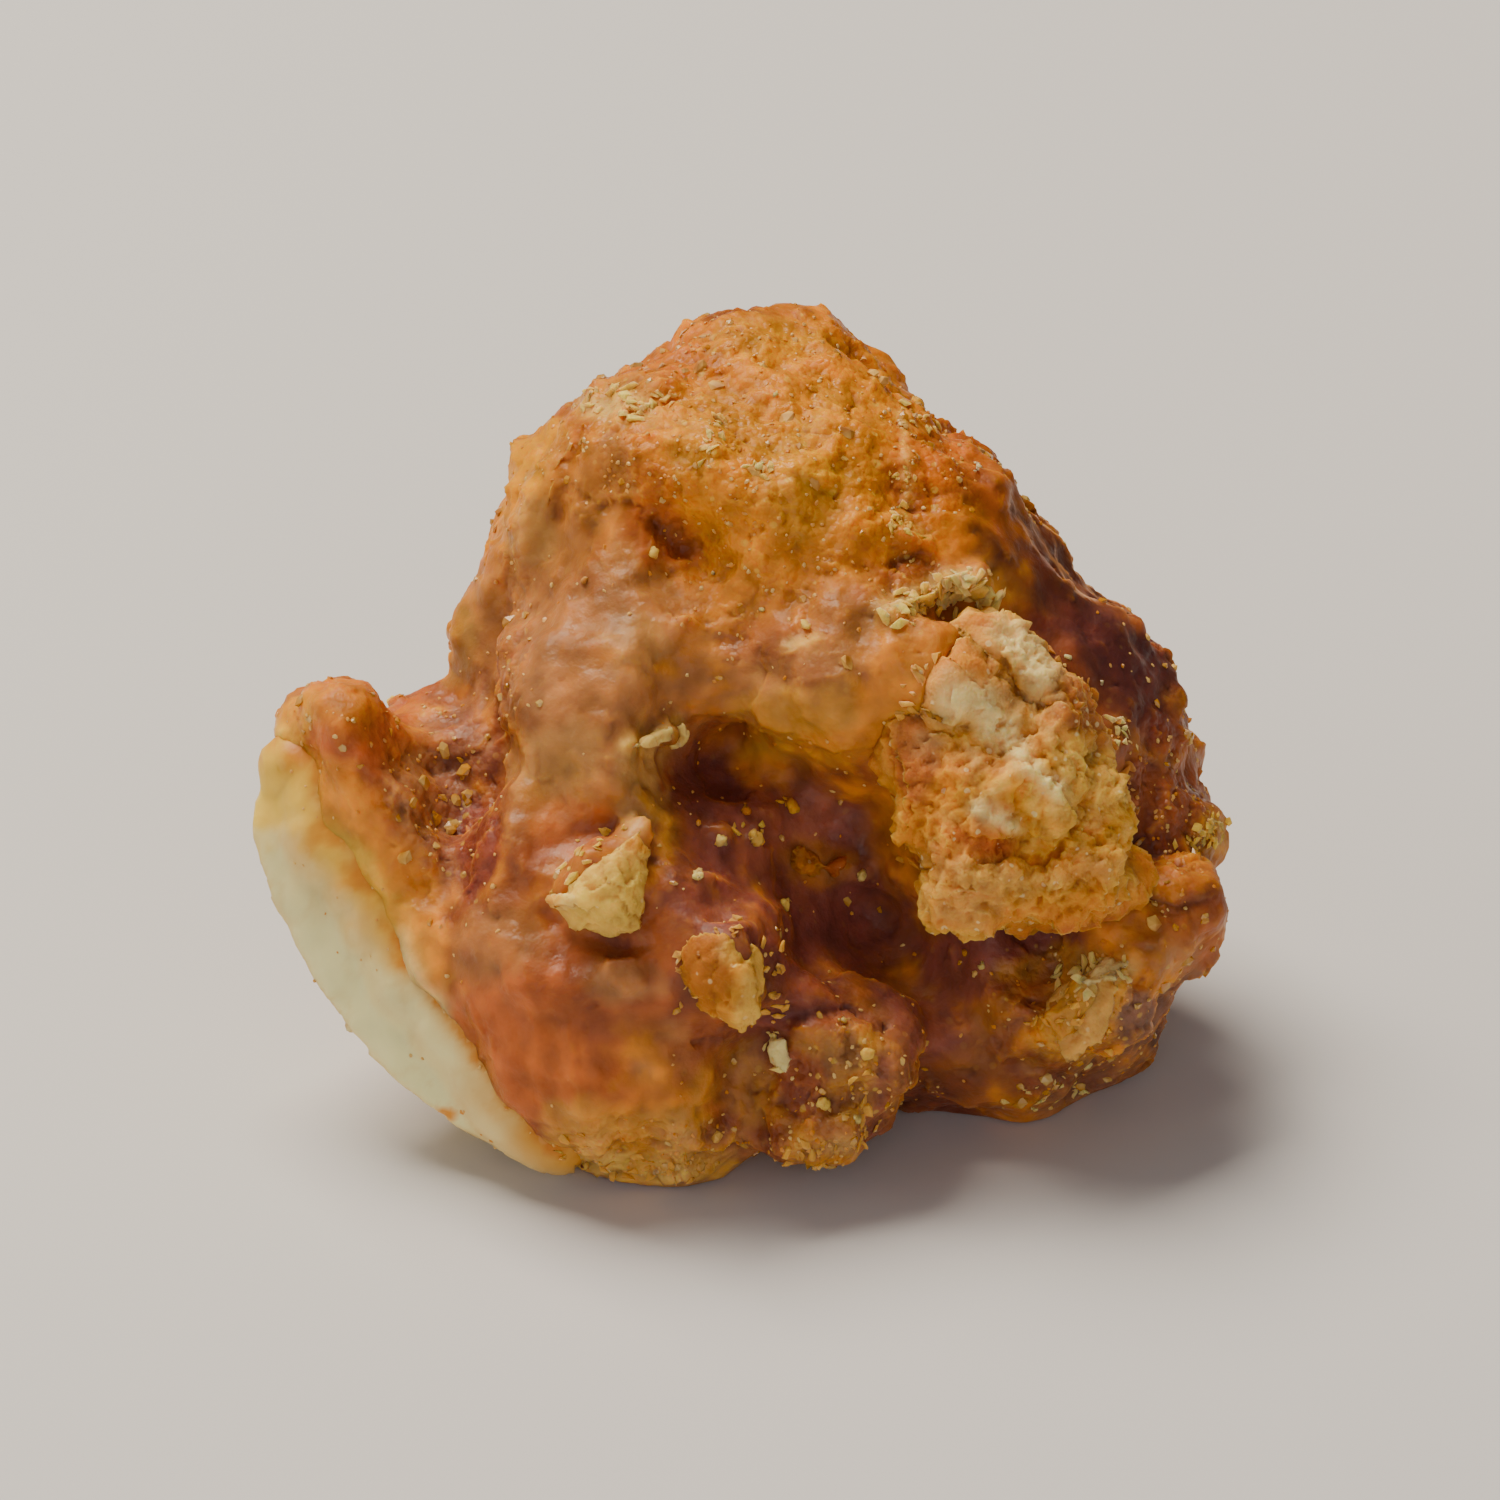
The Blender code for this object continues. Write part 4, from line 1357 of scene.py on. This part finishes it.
@dataclass
class CrumbCluster:
    """The rough crust of crushed nut on the right of the front, filled out where the coat is near."""

    cell: float = 0.095
    outset: float = 0.1
    fill: float = 0.55
    fill_mm: tuple[float, float] = (0.5, 1.4)
    soak_mm: float = 0.8
    reliefs: tuple[Relief, ...] = (
        Relief(Grain.SHARD, 1.3, 0.28, 41),
        Relief(Grain.LEDGE, 1.1, 0.14, 42),
        Relief(Grain.SHARD, 0.5, 0.2, 43),
        Relief(Grain.PEBBLE, 0.34, 0.15, 44),
        Relief(Grain.SHARD, 0.28, 0.1, 40),
        Relief(Grain.SWELL, 0.2, 0.05, 45),
    )
    zones: tuple[Zone, ...] = (
        Zone(9.0, 7.6, 1.3, 1.7, Tone.STRAW, 0.5),
        Zone(6.2, 4.0, 1.8, 1.2, Tone.WHEAT, 0.5),
        Zone(4.8, 7.4, 1.1, 1.8, Tone.GOLD, 0.8),
        Zone(4.4, 8.0, 0.6, 1.5, Tone.AMBER, 0.8),
        Zone(6.0, 7.9, 0.6, 0.5, Tone.HONEY, 0.6),
        Zone(7.4, 8.2, 0.7, 0.4, Tone.OCHRE, 0.5),
        Zone(9.2, 9.5, 1.0, 1.4, Tone.AMBER, 0.85, 30),
        # Painted shade along the cluster's lower edge.
        Zone(8.7, 3.5, 2.0, 0.6, Tone.AMBER, 0.9, 8),
        Zone(7.9, 10.8, 0.7, 0.9, Tone.HONEY, 0.7),
        Zone(8.8, 5.0, 2.2, 1.2, Tone.OCHRE, 0.5),
        Zone(8.4, 3.9, 2.0, 0.5, Tone.GOLD, 0.6, 12),
        Zone(6.4, 5.3, 0.6, 0.4, Tone.HONEY, 0.9),
        Zone(8.9, 5.0, 0.8, 0.5, Tone.HONEY, 0.6),
    )
    strokes: tuple[Stroke, ...] = (
        Stroke(((6.0, 10.9), (6.8, 10.4), (7.3, 9.6), (8.2, 9.3)), 0.28, -0.35, Tone.HONEY, 0.9),
        Stroke(((5.5, 9.6), (6.3, 9.5), (6.6, 8.9)), 0.7, 0.3, Tone.IVORY, 0.95),
        Stroke(((7.0, 11.3), (7.5, 10.8), (7.8, 10.3)), 0.5, 0.3, Tone.IVORY, 0.9),
        Stroke(((6.9, 8.5), (7.5, 7.8), (8.3, 7.2)), 0.32, 0.15, Tone.IVORY, 0.85),
        Stroke(((6.1, 6.6), (6.6, 6.4), (7.1, 6.1)), 0.22, 0.12, Tone.IVORY, 0.9),
        Stroke(((5.6, 5.9), (6.3, 5.6), (6.9, 5.6)), 0.4, -0.15, Tone.ORANGE, 0.9),
        Stroke(((7.4, 5.0), (8.4, 5.1), (9.2, 4.6)), 0.3, -0.1, Tone.GOLD, 0.8),
        Stroke(((4.8, 5.2), (6.4, 4.9), (8.2, 4.8), (9.8, 5.1)), 0.4, 0.3, Tone.WHEAT, 0.4),
    )

    def build(self, node: bpy.types.Object, coat: bpy.types.Object) -> bpy.types.Object:
        """Builds the cluster from its CAD node's shape, broken up into shards and crumbs.

        Args:
            node: the CAD node.
            coat: the finished coat, which the cluster is filled out to meet.

        Returns:
            The finished piece.
        """
        obj = merged_copy(node, "crushed_nut_crust")
        skin = reskinned(obj, self.cell, 1)
        skin.draw(self.strokes, 49)
        gaps = skin.gaps(tree_of(coat.data))
        heights = self.outset + heaped(self.reliefs, skin.spots)
        skin.swell(heights + self.fill * (1.0 - smooth_step(gaps, *self.fill_mm)))
        skin.store()
        spots = skin.spots
        patch = swells(spots, 0.8, 46)
        colours = washed(rows(Tone.OCHRE, len(spots)), Tone.YELLOW_GOLD, smooth_step(patch, -0.3, 0.1))
        colours = washed(colours, Tone.STRAW, 0.7 * smooth_step(patch, 0.1, 0.5))
        colours = washed(colours, Tone.ORANGE, 0.5 * smooth_step(swells(spots, 1.1, 57), 0.05, 0.4))
        colours = washed(colours, Tone.ORANGE, 0.9 * np.exp(-gaps / self.soak_mm))
        colours = skin.laid(colours, (*self.zones, *self.strokes), 47) * NUT_SHINE + NUT_MILK
        colours = colours * (1.0 + 0.25 * swells(spots, 0.35, 48))[:, None]
        # Painted shade in the cluster's hollows, also caramel soaked there, and painted shade in its fine
        # creases.
        colours = glazed(colours, NUT_SOAK_AND_SHADE, 0.6 * smooth_step(skin.hollows(40), 0.03, 0.3))
        colours = glazed(colours, NUT_CREASE_SHADE, 0.6 * smooth_step(skin.hollows(8), 0.01, 0.09))
        skin.paint(colours, grit=np.ones(len(spots)))
        return dress(obj, CRUSHED_NUT.material(), "nut_crumb", "nut_crumb_cluster")


@dataclass(frozen=True)
class Chip:
    """A broken chip of nut on the front.

    Each corner of its top has its across, its rise and how far it stands proud, in millimetres.
    """

    tone: Tone
    corners: tuple[tuple[float, float, float], ...]


@dataclass(frozen=True)
class Crumb:
    """A small crumb of nut on the front, in millimetres."""

    across: float
    rise: float
    radius: float
    tone: Tone


@dataclass(frozen=True)
class Flakes:
    """A spatter of small broken flakes along a line on the front, in millimetres."""

    path: tuple[tuple[float, float], ...]
    spread: float
    count: int
    size: float
    tone: Tone

    def sown(self, draw: np.random.Generator) -> list[tuple[np.ndarray, float]]:
        """Draws each flake's middle and radius.

        Args:
            draw: the source of random numbers.

        Returns:
            The middle, across and rise, and the radius of each flake.
        """
        points = np.array(self.path)
        along = np.concatenate(((0.0,), np.cumsum(np.linalg.norm(np.diff(points, axis=0), axis=1))))
        found = []
        for place_on in draw.uniform(0.0, along[-1], self.count):
            middle = np.array([np.interp(place_on, along, column) for column in points.T])
            middle += draw.normal(size=2) * self.spread
            found.append((middle, self.size * draw.uniform(0.4, 1.2)))
        return found


def ball(draw: np.random.Generator, count: int, radius: float, shape: Sequence[float] = (1.0,)) -> np.ndarray:
    """Draws points on a ball, stretched along its three axes where a shape is given."""
    corners = draw.normal(size=(count, 3))
    return corners * (radius / np.linalg.norm(corners, axis=1)[:, None] * shape)


class Hulls:
    """Closed hulls of nut gathered into one mesh, with the tone of each face."""

    def __init__(self) -> None:
        """Starts with nothing gathered."""
        self.body = bmesh.new()
        self.tones: list[Tone] = []

    def add(self, tone: Tone, corners: np.ndarray) -> None:
        """Adds the hull of some corners.

        Args:
            tone: the hull's tone.
            corners: the corners, in metres.
        """
        hull = bmesh.new()
        for corner in corners:
            hull.verts.new(corner)
        made = bmesh.ops.convex_hull(hull, input=hull.verts)
        loose = {item for key in ("geom_interior", "geom_unused") for item in made[key] if item.is_valid}
        bmesh.ops.delete(hull, geom=list(loose), context="VERTS")
        bmesh.ops.triangulate(hull, faces=hull.faces)
        bmesh.ops.recalc_face_normals(hull, faces=hull.faces)
        self.tones += [tone] * len(hull.faces)
        mesh = mesh_from("hull", hull)
        self.body.from_mesh(mesh)
        bpy.data.meshes.remove(mesh)

    def piece(self, name: str) -> bpy.types.Object:
        """Turns the hulls into one object."""
        return piece_from(name, mesh_from(name, self.body))


@dataclass
class NutChips:
    """The chips, crumbs and flakes of nut that are caught in the caramel.

    Chips and crumbs are hulls that one rough skin closes over. A chip's foot has root_share of its width and
    lies root millimetres inside the coat. No corner of it is set more than most_step off its middle's depth.
    """

    cell: float = 0.08
    chip_seed: int = 17
    flake_seed: int = 29
    bit_seed: int = 23
    root: float = 0.45
    root_share: float = 0.8
    most_step: float = 0.8
    crumb_corners: int = 12
    crumb_lift: float = 0.3
    bits: int = 44
    bit_sizes: tuple[float, float] = (0.3, 0.95)
    bit_corners: int = 11
    bit_flatness: float = 0.55
    bit_lowest: float = 2.0
    bit_tones: tuple[Tone, ...] = (Tone.CREAM, Tone.STRAW, Tone.OCHRE)
    flake_shape: tuple[float, float, float] = (1.3, 0.7, 0.45)
    flake_corners: int = 9
    flake_lowest: float = 0.6
    flake_upright: float = 1.6
    flake_tilt: float = 0.4
    flake_lift: float = 0.12
    chips: tuple[Chip, ...] = (
        Chip(
            Tone.STRAW,
            (
                (-5.3, 4.2, 0.2), (-4.5, 4.9, 0.45), (-3.6, 5.5, 0.5), (-2.95, 6.1, 0.4),
                (-2.65, 5.5, 0.4), (-2.75, 4.4, 0.45), (-2.9, 3.4, 0.35), (-3.8, 3.1, 0.4),
                (-4.8, 3.5, 0.4), (-4.5, 4.3, 0.8), (-3.6, 4.6, 0.85),
            ),
        ),
        Chip(
            Tone.OCHRE,
            (
                (-2.0, 2.4, 0.05), (-1.5, 3.2, 0.1), (-0.6, 3.3, 0.2), (0.2, 2.9, 0.3), (0.45, 2.0, 0.35),
                (0.35, 1.0, 0.3), (-0.2, 0.5, 0.3), (-0.7, 0.9, 0.3), (-1.5, 1.3, 0.05), (-0.1, 2.2, 0.65),
                (-0.8, 2.6, 0.45), (-0.5, 1.5, 0.5),
            ),
        ),
        Chip(
            Tone.IVORY,
            (
                (0.55, 0.4, 0.3), (0.95, 0.45, 0.3), (1.15, -0.2, 0.4), (0.95, -0.6, 0.3),
                (0.55, -0.3, 0.4),
            ),
        ),
        Chip(Tone.STRAW, ((5.5, 12.6, 0.2), (6.0, 13.0, 0.35), (6.5, 12.5, 0.3), (6.1, 12.2, 0.15))),
        Chip(Tone.STRAW, ((4.1, 12.1, 0.1), (4.6, 12.4, 0.3), (5.2, 12.6, 0.3), (4.9, 12.2, 0.15))),
        Chip(Tone.CREAM, ((-3.3, 8.2, 0.2), (-2.8, 8.6, 0.35), (-2.1, 8.85, 0.3), (-2.2, 8.5, 0.25))),
        Chip(Tone.IVORY, ((8.9, 1.9, 0.3), (9.7, 2.5, 0.4), (10.4, 2.5, 0.3), (9.8, 1.9, 0.5))),
        Chip(
            Tone.WHEAT,
            (
                (8.0, 1.4, 0.2), (9.0, 2.2, 0.4), (10.0, 1.8, 0.4), (9.6, 0.4, 0.4), (8.6, -0.4, 0.2),
            ),
        ),
        Chip(Tone.STRAW, ((12.6, 6.3, 0.1), (13.1, 6.3, 0.2), (13.0, 5.6, 0.2), (12.3, 5.5, 0.2))),
        Chip(
            Tone.OCHRE,
            (
                (9.4, 5.4, 0.5), (10.8, 5.3, 0.5), (10.9, 4.2, 0.5), (9.8, 3.7, 0.6), (8.8, 4.2, 0.6),
            ),
        ),
    )
    tints: tuple[Zone, ...] = (
        Zone(-1.4, 2.2, 0.9, 1.4, Tone.AMBER, 0.75),
        Zone(0.2, 2.0, 0.45, 1.3, Tone.STRAW, 0.75),
        Zone(0.0, 0.9, 0.4, 0.5, Tone.STRAW, 0.6),
        Zone(-0.3, 2.8, 0.5, 0.4, Tone.STRAW, 0.5),
        Zone(-3.8, 4.3, 1.3, 1.0, Tone.LEMON, 0.3),
        Zone(-2.9, 5.8, 0.45, 0.45, Tone.GOLD, 0.6),
        Zone(-5.4, 4.3, 0.4, 0.5, Tone.GOLD, 0.6),
    )
    crumbs: tuple[Crumb, ...] = (
        Crumb(-0.75, 5.75, 0.26, Tone.CREAM),
        Crumb(0.1, 5.85, 0.3, Tone.STRAW),
        Crumb(1.1, 6.7, 0.26, Tone.OCHRE),
        Crumb(-0.1, 6.6, 0.2, Tone.HONEY),
        Crumb(-1.4, 4.85, 0.2, Tone.CREAM),
        Crumb(1.0, 4.05, 0.18, Tone.STRAW),
        Crumb(3.1, 4.8, 0.2, Tone.CREAM),
        Crumb(1.6, 5.2, 0.5, Tone.HONEY),
        Crumb(2.4, 5.1, 0.42, Tone.AMBER),
        Crumb(6.3, 2.3, 0.16, Tone.CREAM),
        Crumb(0.3, 15.9, 0.18, Tone.CREAM),
        Crumb(0.7, 17.9, 0.14, Tone.CREAM),
        Crumb(3.9, 14.8, 0.14, Tone.IVORY),
        Crumb(5.3, 14.7, 0.12, Tone.IVORY),
        Crumb(-2.55, 13.55, 0.2, Tone.STRAW),
        Crumb(0.3, 12.0, 0.16, Tone.CREAM),
        Crumb(1.5, 11.6, 0.22, Tone.STRAW),
        Crumb(-1.0, 13.0, 0.14, Tone.CREAM),
        Crumb(-4.5, 12.8, 0.14, Tone.ROSE_TAN),
        Crumb(2.0, -1.4, 0.2, Tone.STRAW),
        Crumb(2.9, -1.8, 0.2, Tone.CREAM),
        Crumb(3.2, 0.0, 0.22, Tone.STRAW),
        Crumb(2.5, 0.9, 0.16, Tone.STRAW),
        Crumb(8.7, 10.7, 0.12, Tone.IVORY),
        Crumb(9.6, 10.0, 0.12, Tone.IVORY),
        Crumb(6.2, 16.0, 0.2, Tone.IVORY),
    )
    flakes: tuple[Flakes, ...] = (
        Flakes(((-4.6, 17.7), (-3.8, 17.9), (-3.2, 17.4), (-2.2, 17.9)), 0.2, 34, 0.22, Tone.CREAM),
        Flakes(((-0.8, 17.4), (-1.0, 16.7), (-1.3, 16.0)), 0.16, 18, 0.2, Tone.CREAM),
        Flakes(((0.2, 16.0), (0.5, 15.8)), 0.12, 7, 0.18, Tone.CREAM),
        Flakes(((4.1, 17.7), (4.6, 17.3), (5.1, 17.0)), 0.12, 12, 0.17, Tone.CREAM),
        Flakes(((4.1, 16.0), (4.3, 15.2), (3.9, 14.3), (4.5, 13.9)), 0.16, 24, 0.16, Tone.STRAW),
        Flakes(((3.9, 11.9), (4.7, 12.3), (5.3, 12.6)), 0.22, 30, 0.26, Tone.CREAM),
        Flakes(((5.2, 12.6), (5.9, 12.9), (6.5, 12.5)), 0.25, 30, 0.28, Tone.IVORY),
        Flakes(((4.6, 11.2), (4.3, 9.6), (4.2, 8.0), (4.3, 6.4), (4.6, 5.0)), 0.3, 40, 0.24, Tone.WHEAT),
        Flakes(
            ((8.2, 11.0), (9.0, 10.0), (9.8, 8.6), (10.4, 6.8), (10.8, 5.2)), 0.28, 26, 0.2, Tone.ROSE_TAN
        ),
        Flakes(((10.0, 9.0), (10.4, 8.5), (10.7, 8.1)), 0.14, 12, 0.17, Tone.IVORY),
        Flakes(((12.1, 5.6), (12.8, 6.0), (13.1, 6.5)), 0.28, 26, 0.2, Tone.STRAW),
        Flakes(((8.5, 1.8), (9.4, 2.3), (10.3, 2.1)), 0.25, 30, 0.22, Tone.IVORY),
        Flakes(((8.3, 0.6), (9.2, 1.2), (9.4, 0.0)), 0.4, 26, 0.2, Tone.WHEAT),
        Flakes(((7.7, -1.6), (8.6, -0.9), (9.4, -1.3)), 0.25, 30, 0.14, Tone.IVORY),
        Flakes(((-5.5, 4.5), (-4.6, 5.3), (-3.4, 6.1)), 0.16, 16, 0.2, Tone.STRAW),
        Flakes(((-1.8, 1.2), (-1.7, 2.8), (-0.6, 3.5), (0.5, 2.8), (0.6, 1.0)), 0.25, 34, 0.2, Tone.WHEAT),
        Flakes(((5.2, 12.2), (5.9, 12.4), (6.6, 12.2)), 0.2, 22, 0.26, Tone.IVORY),
        Flakes(((0.6, 0.4), (0.8, -0.6)), 0.12, 10, 0.2, Tone.IVORY),
        Flakes(((1.2, -2.6), (2.4, -3.1), (3.2, -2.4), (3.0, -1.2)), 0.3, 36, 0.2, Tone.WHEAT),
        Flakes(((-5.2, -2.6), (-3.4, -3.3), (-1.6, -3.2)), 0.3, 30, 0.2, Tone.WHEAT),
        Flakes(((-0.5, 5.8), (0.3, 5.9)), 0.15, 8, 0.17, Tone.STRAW),
        Flakes(((0.9, 6.8), (1.2, 6.6)), 0.12, 6, 0.17, Tone.OCHRE),
    )
    reliefs: tuple[Relief, ...] = (
        Relief(Grain.SHARD, 0.8, 0.15, 51),
        Relief(Grain.SHARD, 0.35, 0.08, 58),
        Relief(Grain.SWELL, 0.6, 0.08, 52),
        Relief(Grain.SWELL, 0.22, 0.03, 53),
    )

    def build(self, coat: bpy.types.Object) -> bpy.types.Object:
        """Builds all chips and crumbs as one piece, each rooted in the coat, and then the flakes.

        Args:
            coat: the finished coat.

        Returns:
            The piece of chips and crumbs.
        """
        surface = tree_of(coat.data)
        hulls = Hulls()
        draw = np.random.default_rng(self.chip_seed)
        for chip in self.chips:
            tops = np.array(chip.corners)
            middle = tops[:, :2].mean(axis=0)
            feet = middle + (tops[:, :2] - middle) * self.root_share
            roots = np.column_stack((feet, np.full(len(tops), -self.root)))
            hulls.add(chip.tone, self.seated(np.vstack((tops, roots)), surface))
        for crumb in self.crumbs:
            corners = ball(draw, self.crumb_corners, crumb.radius)
            corners += np.array((crumb.across, crumb.rise, self.crumb_lift * crumb.radius))
            hulls.add(crumb.tone, self.seated(corners, surface))
        self.sow(hulls, Skin(coat.data))
        obj = hulls.piece("nut_chips")
        faces = tree_of(obj.data)
        skin = reskinned(obj, self.cell, 3)
        found = [faces.find_nearest(Vector(point))[2] for point in skin.points]
        skin.swell(heaped(self.reliefs, skin.spots))
        skin.store(FLOOR_GAP)
        colours = skin.laid(np.array([hulls.tones[index].rgb for index in found]), self.tints, 55)
        colours = colours * (1.0 + 0.3 * swells(skin.spots, 0.5, 54))[:, None]
        front = skin.front
        sides = smooth_step(front, 0.0, 0.1) * (1.0 - smooth_step(front, 0.2, 0.9))
        crease = smooth_step(skin.hollows(8), 0.01, 0.08)
        # Amber on the chips' sides, and painted shade in their creases.
        colours = washed(colours, Tone.AMBER, np.maximum(0.55 * sides, 0.6 * crease))
        skin.paint(colours, grit=np.full(len(colours), NUT_GRIT))
        self.scatter_flakes(surface)
        return dress(obj, CRUSHED_NUT.material(), "nut_crumb")

    def scatter_flakes(self, surface: BVHTree) -> None:
        """Makes the spatters of flakes, as one piece of sharp little shards that lie along the coat.

        Args:
            surface: the coat's surface.
        """
        hulls = Hulls()
        draw = np.random.default_rng(self.flake_seed)
        for group in self.flakes:
            for middle, radius in group.sown(draw):
                corners = ball(draw, self.flake_corners, radius, self.flake_shape)
                tilt = draw.normal(size=3)
                hit, normal = surface.ray_cast(Vector(place((*middle, RAY_START))), INTO)[:2]
                if hit is None or hit.z < self.flake_lowest * MM:
                    continue
                up = (normal * self.flake_upright + Vector(tilt) * self.flake_tilt).normalized()
                along = up.cross(Vector(tilt)).normalized()
                frame = np.array((along, up.cross(along), up))
                raised = corners + np.array((0.0, 0.0, self.flake_lift * radius))
                hulls.add(group.tone, np.array(hit) + raised @ frame * MM)
        obj = hulls.piece("nut_flakes")
        skin = Skin(obj.data)
        colours = np.zeros((len(skin.points), 3))
        for face, tone in zip(obj.data.polygons, hulls.tones):
            colours[list(face.vertices)] = tone.rgb
        shade = 1.1 + 0.5 * swells(skin.spots, 0.4, 56)
        skin.paint(colours * shade[:, None] * FLAKE_SHINE, grit=np.full(len(colours), NUT_GRIT))
        dress(obj, CRUSHED_NUT.material(), "nut_crumb")
        obj.data.shade_flat()

    def seated(self, corners: np.ndarray, surface: BVHTree) -> np.ndarray:
        """Sets corners that are measured outwards from the coat against it.

        Args:
            corners: across, rise and how far each stands proud, in millimetres.
            surface: the coat's surface.

        Returns:
            The corners, in metres.
        """
        middle = corners[:, :2].mean(axis=0)
        fallback = self.depth(surface, middle[0], middle[1], 0.0)
        nearest, deepest = fallback - self.most_step, fallback + self.most_step
        spots = []
        for across, rise, proud in corners:
            depth = self.depth(surface, across, rise, fallback)
            spots.append((across, rise, min(max(depth, nearest), deepest) - proud))
        return place(spots)

    def sow(self, hulls: Hulls, coat: Skin) -> None:
        """Presses bits of nut into the sides that the front's own chips leave bare.

        Args:
            hulls: the hulls so far.
            coat: the coat's surface.
        """
        draw = np.random.default_rng(self.bit_seed)
        free = np.flatnonzero((coat.front < 0.05) & (coat.points[:, 2] > self.bit_lowest * MM))
        for index in draw.choice(free, self.bits, replace=False):
            corners = ball(draw, self.bit_corners, draw.uniform(*self.bit_sizes) * MM)
            inward = (corners @ coat.normals[index])[:, None] * coat.normals[index]
            tone = self.bit_tones[draw.integers(len(self.bit_tones))]
            hulls.add(tone, coat.points[index] + corners - self.bit_flatness * inward)

    def depth(self, surface: BVHTree, across: float, rise: float, fallback: float) -> float:
        """The coat's depth behind a place on the front, or the fallback beside the coat."""
        hit = surface.ray_cast(Vector(place((across, rise, RAY_START))), INTO)[0]
        return fallback if hit is None else float(leaning(np.array(hit))[2])


@dataclass
class SugarDust:
    """Sugar grains on the coat: fine ones where it is crusty, and larger clear ones where syrup pooled."""

    fine: GrainScatter = GrainScatter("fine_sugar_grains", 4.0, 0.035, 0.09, 3)
    coarse: GrainScatter = GrainScatter("coarse_sugar_grains", 0.4, 0.08, 0.17, 8)
    crumbs: GrainScatter = GrainScatter("scattered_nut_crumbs", 0.08, 0.1, 0.3, 5)
    pooled: GrainScatter = GrainScatter("pooled_sugar_crystals", 2.4, 0.1, 0.26, 11, "pool")
    stray: GrainScatter = GrainScatter("stray_sugar_grains", 2.6, 0.03, 0.08, 21)

    def build(self, coat: bpy.types.Object, kernel: bpy.types.Object) -> None:
        """Sows the grains over the coat and the kernel.

        Args:
            coat: the finished coat, with its grit.
            kernel: the finished kernel, with its grit.
        """
        # Set sugar: fine grains that caramel has wetted, so most are amber and a few are nearly white.
        pale = SugarFinish("set_sugar_grain", Tone.CREAM, Tone.GOLD, 0.1, 0.4).material()
        # Sugar crystal: clear angular grains with a sharp glint.
        clear = SugarFinish("clear_sugar_crystal", Tone.CREAM, Tone.YELLOW_GOLD, 0.3, 0.2).material()
        # Crushed nut: dry matt crumbs, ochre where caramel wetted them.
        nut = SugarFinish("loose_nut_crumb", Tone.STRAW, Tone.HONEY, 0.0, 0.6).material()
        sowings = (
            (self.fine, coat, pale, "caramel"),
            (self.coarse, coat, clear, "caramel"),
            (self.pooled, coat, clear, "caramel"),
            (self.crumbs, coat, nut, "nut_crumb"),
            (self.stray, kernel, pale, "caramel"),
        )
        for scatter, host, material, slot in sowings:
            obj = dress(scatter.over(host.data, material), material, slot)
            obj.data.shade_flat()


@dataclass
class Studio:
    """The pale floor, the soft lights and the camera at the photograph's angle.

    The aim is in leaning millimetres, and the rest in metres. The view is view_width wide at the aim, and the
    lights point at lit. The sky is the room's own light.
    """

    aim: tuple[float, float, float] = (0.0, 8.2, 0.0)
    distance: float = 0.3
    view_width: float = 0.0415
    floor_size: float = 3.0
    nearest: float = 0.01
    lit: tuple[float, float, float] = (0.0, 0.0, 0.008)
    sky: float = 0.16

    def build(self) -> None:
        """Makes the floor, the lights and the camera."""
        self.floor()
        self.light("key_window", (-0.12, 0.12, 0.35), 0.24, 2.6, "#FFF0DA")
        self.light("front_fill", (0.04, -0.42, 0.1), 0.4, 0.82, "#F8F4F4")
        self.light("side_fill", (-0.4, -0.16, 0.14), 0.3, 0.4, "#FBF8F2")
        world = bpy.data.worlds.new("soft_room")
        bpy.context.scene.world = world
        world.use_nodes = True
        room = {"Color": (*linear("#E8DFD6"), 1.0), "Strength": self.sky}
        feed(world.node_tree.nodes["Background"], room)
        self.camera()

    def floor(self) -> None:
        """Makes the plain floor."""
        body = bmesh.new()
        bmesh.ops.create_grid(body, x_segments=1, y_segments=1, size=self.floor_size / 2)
        mesh = mesh_from("floor", body)
        # White board: matt and slightly cool.
        material, shader = plain_material("matt_white_board")
        feed(shader, {"Base Color": (*linear("#D4D5D8"), 1.0), "Roughness": 0.6})
        mesh.materials.append(material)
        piece_from("floor", mesh)

    def light(self, name: str, where: Sequence[float], size: float, power: float, tint: str) -> None:
        """Adds one square area light that points at the clump.

        Args:
            name: the light's name.
            where: its place, in metres.
            size: its side, in metres.
            power: its power, in watts.
            tint: its colour, as sRGB hex.
        """
        lamp = bpy.data.lights.new(name, "AREA")
        lamp.size = size
        lamp.energy = power
        lamp.color = linear(tint)
        obj = piece_from(name, lamp)
        obj.location = where
        obj.rotation_euler = (Vector(self.lit) - obj.location).to_track_quat("-Z", "Y").to_euler()

    def camera(self) -> None:
        """Sets the camera along the depth axis, so that the clump fills two thirds of the frame."""
        lens = bpy.data.cameras.new("camera")
        lens.lens = lens.sensor_width * self.distance / self.view_width
        lens.clip_start = self.nearest
        obj = piece_from("camera", lens)
        obj.location = Vector(place(self.aim)) - INTO * self.distance
        obj.rotation_euler = INTO.to_track_quat("-Z", "Y").to_euler()
        bpy.context.scene.camera = obj


def main() -> None:
    """Loads the frame and builds every piece round it."""
    logging.basicConfig(level=logging.INFO, format="%(name)s: %(message)s")
    for obj in list(bpy.data.objects):
        bpy.data.objects.remove(obj)
    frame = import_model()
    nodes = frame["nodes"]
    Studio().build()
    coat = CaramelCoat().build(nodes["caramel_coat"])
    kernel = CashewKernel().build(nodes["cashew_kernel"], coat)
    CrumbCluster().build(nodes["nut_crumb_cluster"], coat)
    NutChips().build(coat)
    SugarDust().build(coat, kernel)
    LOG.info("all pieces are in place")


if __name__ == "__main__":
    main()
